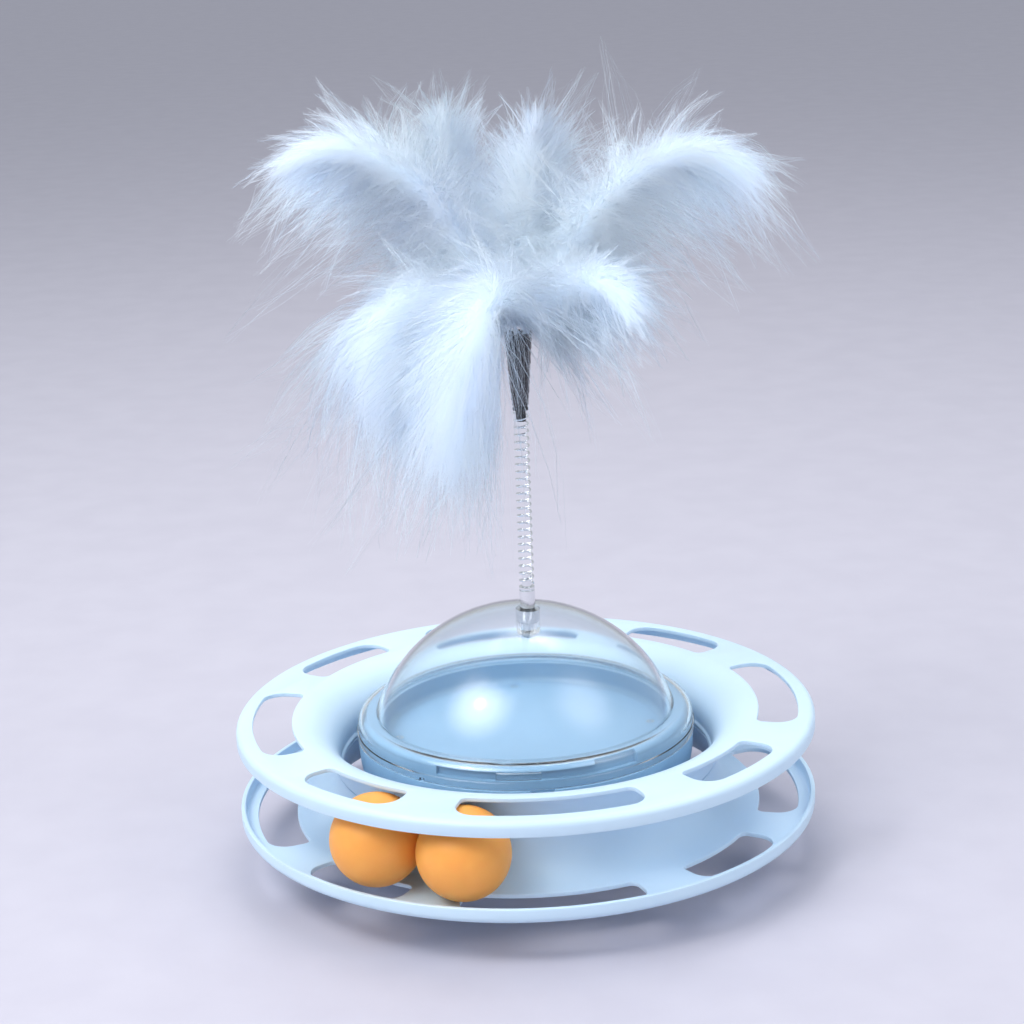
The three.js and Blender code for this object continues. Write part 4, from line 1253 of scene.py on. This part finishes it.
def rounded_shading(made, corners):
    """Turns the ribbons outwards from the shaft, so that a plume is lit as one soft body."""
    bm = bmesh.new()
    bm.from_mesh(made.data)
    spine, _ = along(corners, np.linspace(0, 1, SPINE_POINTS))

    def outward(places):
        nearest = np.argmin((spine ** 2).sum(axis=1) - 2 * places @ spine.T, axis=1)
        return unit(places - spine[nearest] + np.array([0, 0, upward_turn]))

    middles = outward(np.array([face.calc_center_median() for face in bm.faces]) / MM)
    normals = np.array([face.normal for face in bm.faces])
    inward = (middles * normals).sum(axis=1) < 0
    bmesh.ops.reverse_faces(bm, faces=[face for face, turned in zip(bm.faces, inward) if turned])
    bm.to_mesh(made.data)
    made.data.shade_smooth()
    made.data.normals_split_custom_set_from_vertices(outward(np.array([vert.co for vert in bm.verts]) / MM))
    bm.free()


def grown_plume(name, seed):
    rng = np.random.default_rng(seed)
    locks, fluff = parted(lock_lines(name, rng), rng), parted(fluff_lines(name, rng), rng)
    taper = np.linspace(1, 0, BARB_POINTS)[None, :]
    thickness = np.exp(rng.normal(0, thickness_spread, (len(locks) + len(fluff), 1)))
    widths = np.vstack([
        np.repeat(lock_tip + (lock_root - lock_tip) * taper, len(locks), axis=0),
        np.repeat(fluff_tip + (fluff_root - fluff_tip) * taper, len(fluff), axis=0),
    ])
    tilts = rng.uniform(0, math.pi, len(thickness))
    made = swept(f"barbs_{name}", np.vstack([locks, fluff]), widths * thickness, tilts, flat_section)
    rounded_shading(made, plume_corners(plumes[name][1]))
    return made


for seed, name in enumerate(plumes, 11):
    soft_piece(grown_plume(name, seed), down, f"plume_{name}")


# %% Shafts
shaft_inset = binding_wall + 0.9
shaft_depth = 5
shaft_radius, shaft_tip = 0.5, 0.1
BEND_POINTS, PLUME_POINTS = 9, 26


def shaft_line(index, shares, last):
    """A shaft from its place in the binding, out of the mouth and along its plume."""
    seat = math.tau * index / len(plumes)
    outward = np.array([math.cos(seat), math.sin(seat), 0])
    foot = np.array([wand_x, 0, binding_low + shaft_depth]) + outward * (binding_bottom_radius - shaft_inset)
    mouth = np.array([wand_x, 0, binding_high]) + outward * (binding_top_radius - shaft_inset)
    corners = plume_corners(shares)
    start, direction = along(corners, [0.0])
    rise = unit(mouth - foot)
    reach = np.linalg.norm(start[0] - mouth) / 3
    bend_corners = [mouth, mouth + rise * reach, start[0] - direction[0] * reach, start[0]]
    bend, _ = along(bend_corners, np.linspace(0, 1, BEND_POINTS))
    plume, _ = along(corners, np.linspace(0.04, last, PLUME_POINTS))
    return np.vstack([foot[None, :], bend, plume])


for index, (name, (_, shares)) in enumerate(plumes.items()):
    line = shaft_line(index, shares, barb_habits[name][-1])
    stations = [0, BEND_POINTS + 1, len(line) - 1]
    radii = np.interp(np.arange(len(line)), stations, [shaft_radius, shaft_radius, shaft_tip])
    shaft = swept(f"shaft_{name}", [line], [radii], [0], round_section)
    soft_piece(shaft, quill_horn, f"quill_{name}")

for spare in (flat_section, round_section):
    bpy.data.objects.remove(spare)

# %% [markdown]
# ## Stage and light
#
# A pale floor takes the toy's shadow. Two broad soft lamps stand in front, left and right, as in a small
# photo studio, a third lights the feathers from above and behind, and the world fills the shadows. The two
# front lamps also make the glows in the dome. Each lamp fades towards its edge, as a softbox does, and the
# left one has a bright middle.

# %% Floor and lamps
floor_reach, floor_mottle = 12, 30
floor_grey, floor_pale = (0.52, 0.51, 0.60), (0.54, 0.53, 0.62)
lamp_middle_height = 0.15
lamp_core = 3.6


def floor():
    bm = bmesh.new()
    bmesh.ops.create_grid(bm, x_segments=1, y_segments=1, size=floor_reach)
    ground = as_object(bm, "floor")
    material, tree, principled = shader("floor")
    grain = noise(tree, floor_mottle, detail=4.0)
    tree.links.new(colour_between(tree, grain, floor_grey, floor_pale), principled.inputs["Base Color"])
    principled.inputs["Roughness"].default_value = 0.7
    ground.data.materials.append(material)


def lamp(name, azimuth, elevation, distance, size, power, colour):
    """A square soft lamp that faces the middle of the toy. Azimuth 0 is in front, positive to the right."""
    turn, rise = math.radians(azimuth), math.radians(elevation)
    across = math.cos(rise)
    place = Vector((math.sin(turn) * across, -math.cos(turn) * across, math.sin(rise))) * distance
    light = bpy.data.lights.new(name, "AREA")
    light.shape = "SQUARE"
    light.size = size
    light.energy = power
    light.color = colour
    light.use_nodes = True
    tree = light.node_tree
    face = tree.nodes.new("ShaderNodeNewGeometry")
    from_middle = tree.nodes.new("ShaderNodeVectorMath")
    from_middle.operation = "DISTANCE"
    from_middle.inputs[1].default_value = (0.5, 0.5, 0)
    tree.links.new(face.outputs["Parametric"], from_middle.inputs[0])
    fade = tree.nodes.new("ShaderNodeMapRange")
    fade.interpolation_type = "SMOOTHERSTEP"
    for socket, value in (("From Min", 0), ("From Max", 0.5), ("To Min", lamp_core), ("To Max", 0)):
        fade.inputs[socket].default_value = value
    tree.links.new(from_middle.outputs["Value"], fade.inputs["Value"])
    tree.links.new(fade.outputs["Result"], tree.nodes["Emission"].inputs["Strength"])
    made = bpy.data.objects.new(name, light)
    bpy.context.scene.collection.objects.link(made)
    made.location = place + Vector((0, 0, lamp_middle_height))
    made.rotation_euler = (-place).to_track_quat("-Z", "Y").to_euler()


floor()
lamp("left_lamp", -58, 50, 1.6, 2.0, 23, (1.0, 0.99, 0.98))
lamp("left_core", -58, 50, 1.58, 0.3, 2, (1.0, 0.99, 0.98))
lamp("right_lamp", 60, 44, 1.7, 2.0, 9, (0.97, 0.98, 1.0))
lamp("top_lamp", 170, 68, 1.7, 1.6, 12, (1.0, 1.0, 1.0))

world = bpy.data.worlds.new("studio")
bpy.context.scene.world = world
world.use_nodes = True
sky = world.node_tree.nodes["Background"]
sky.inputs["Color"].default_value = (0.91, 0.95, 1.0, 1)
sky.inputs["Strength"].default_value = 0.6
bpy.context.scene.view_settings.view_transform = "Standard"
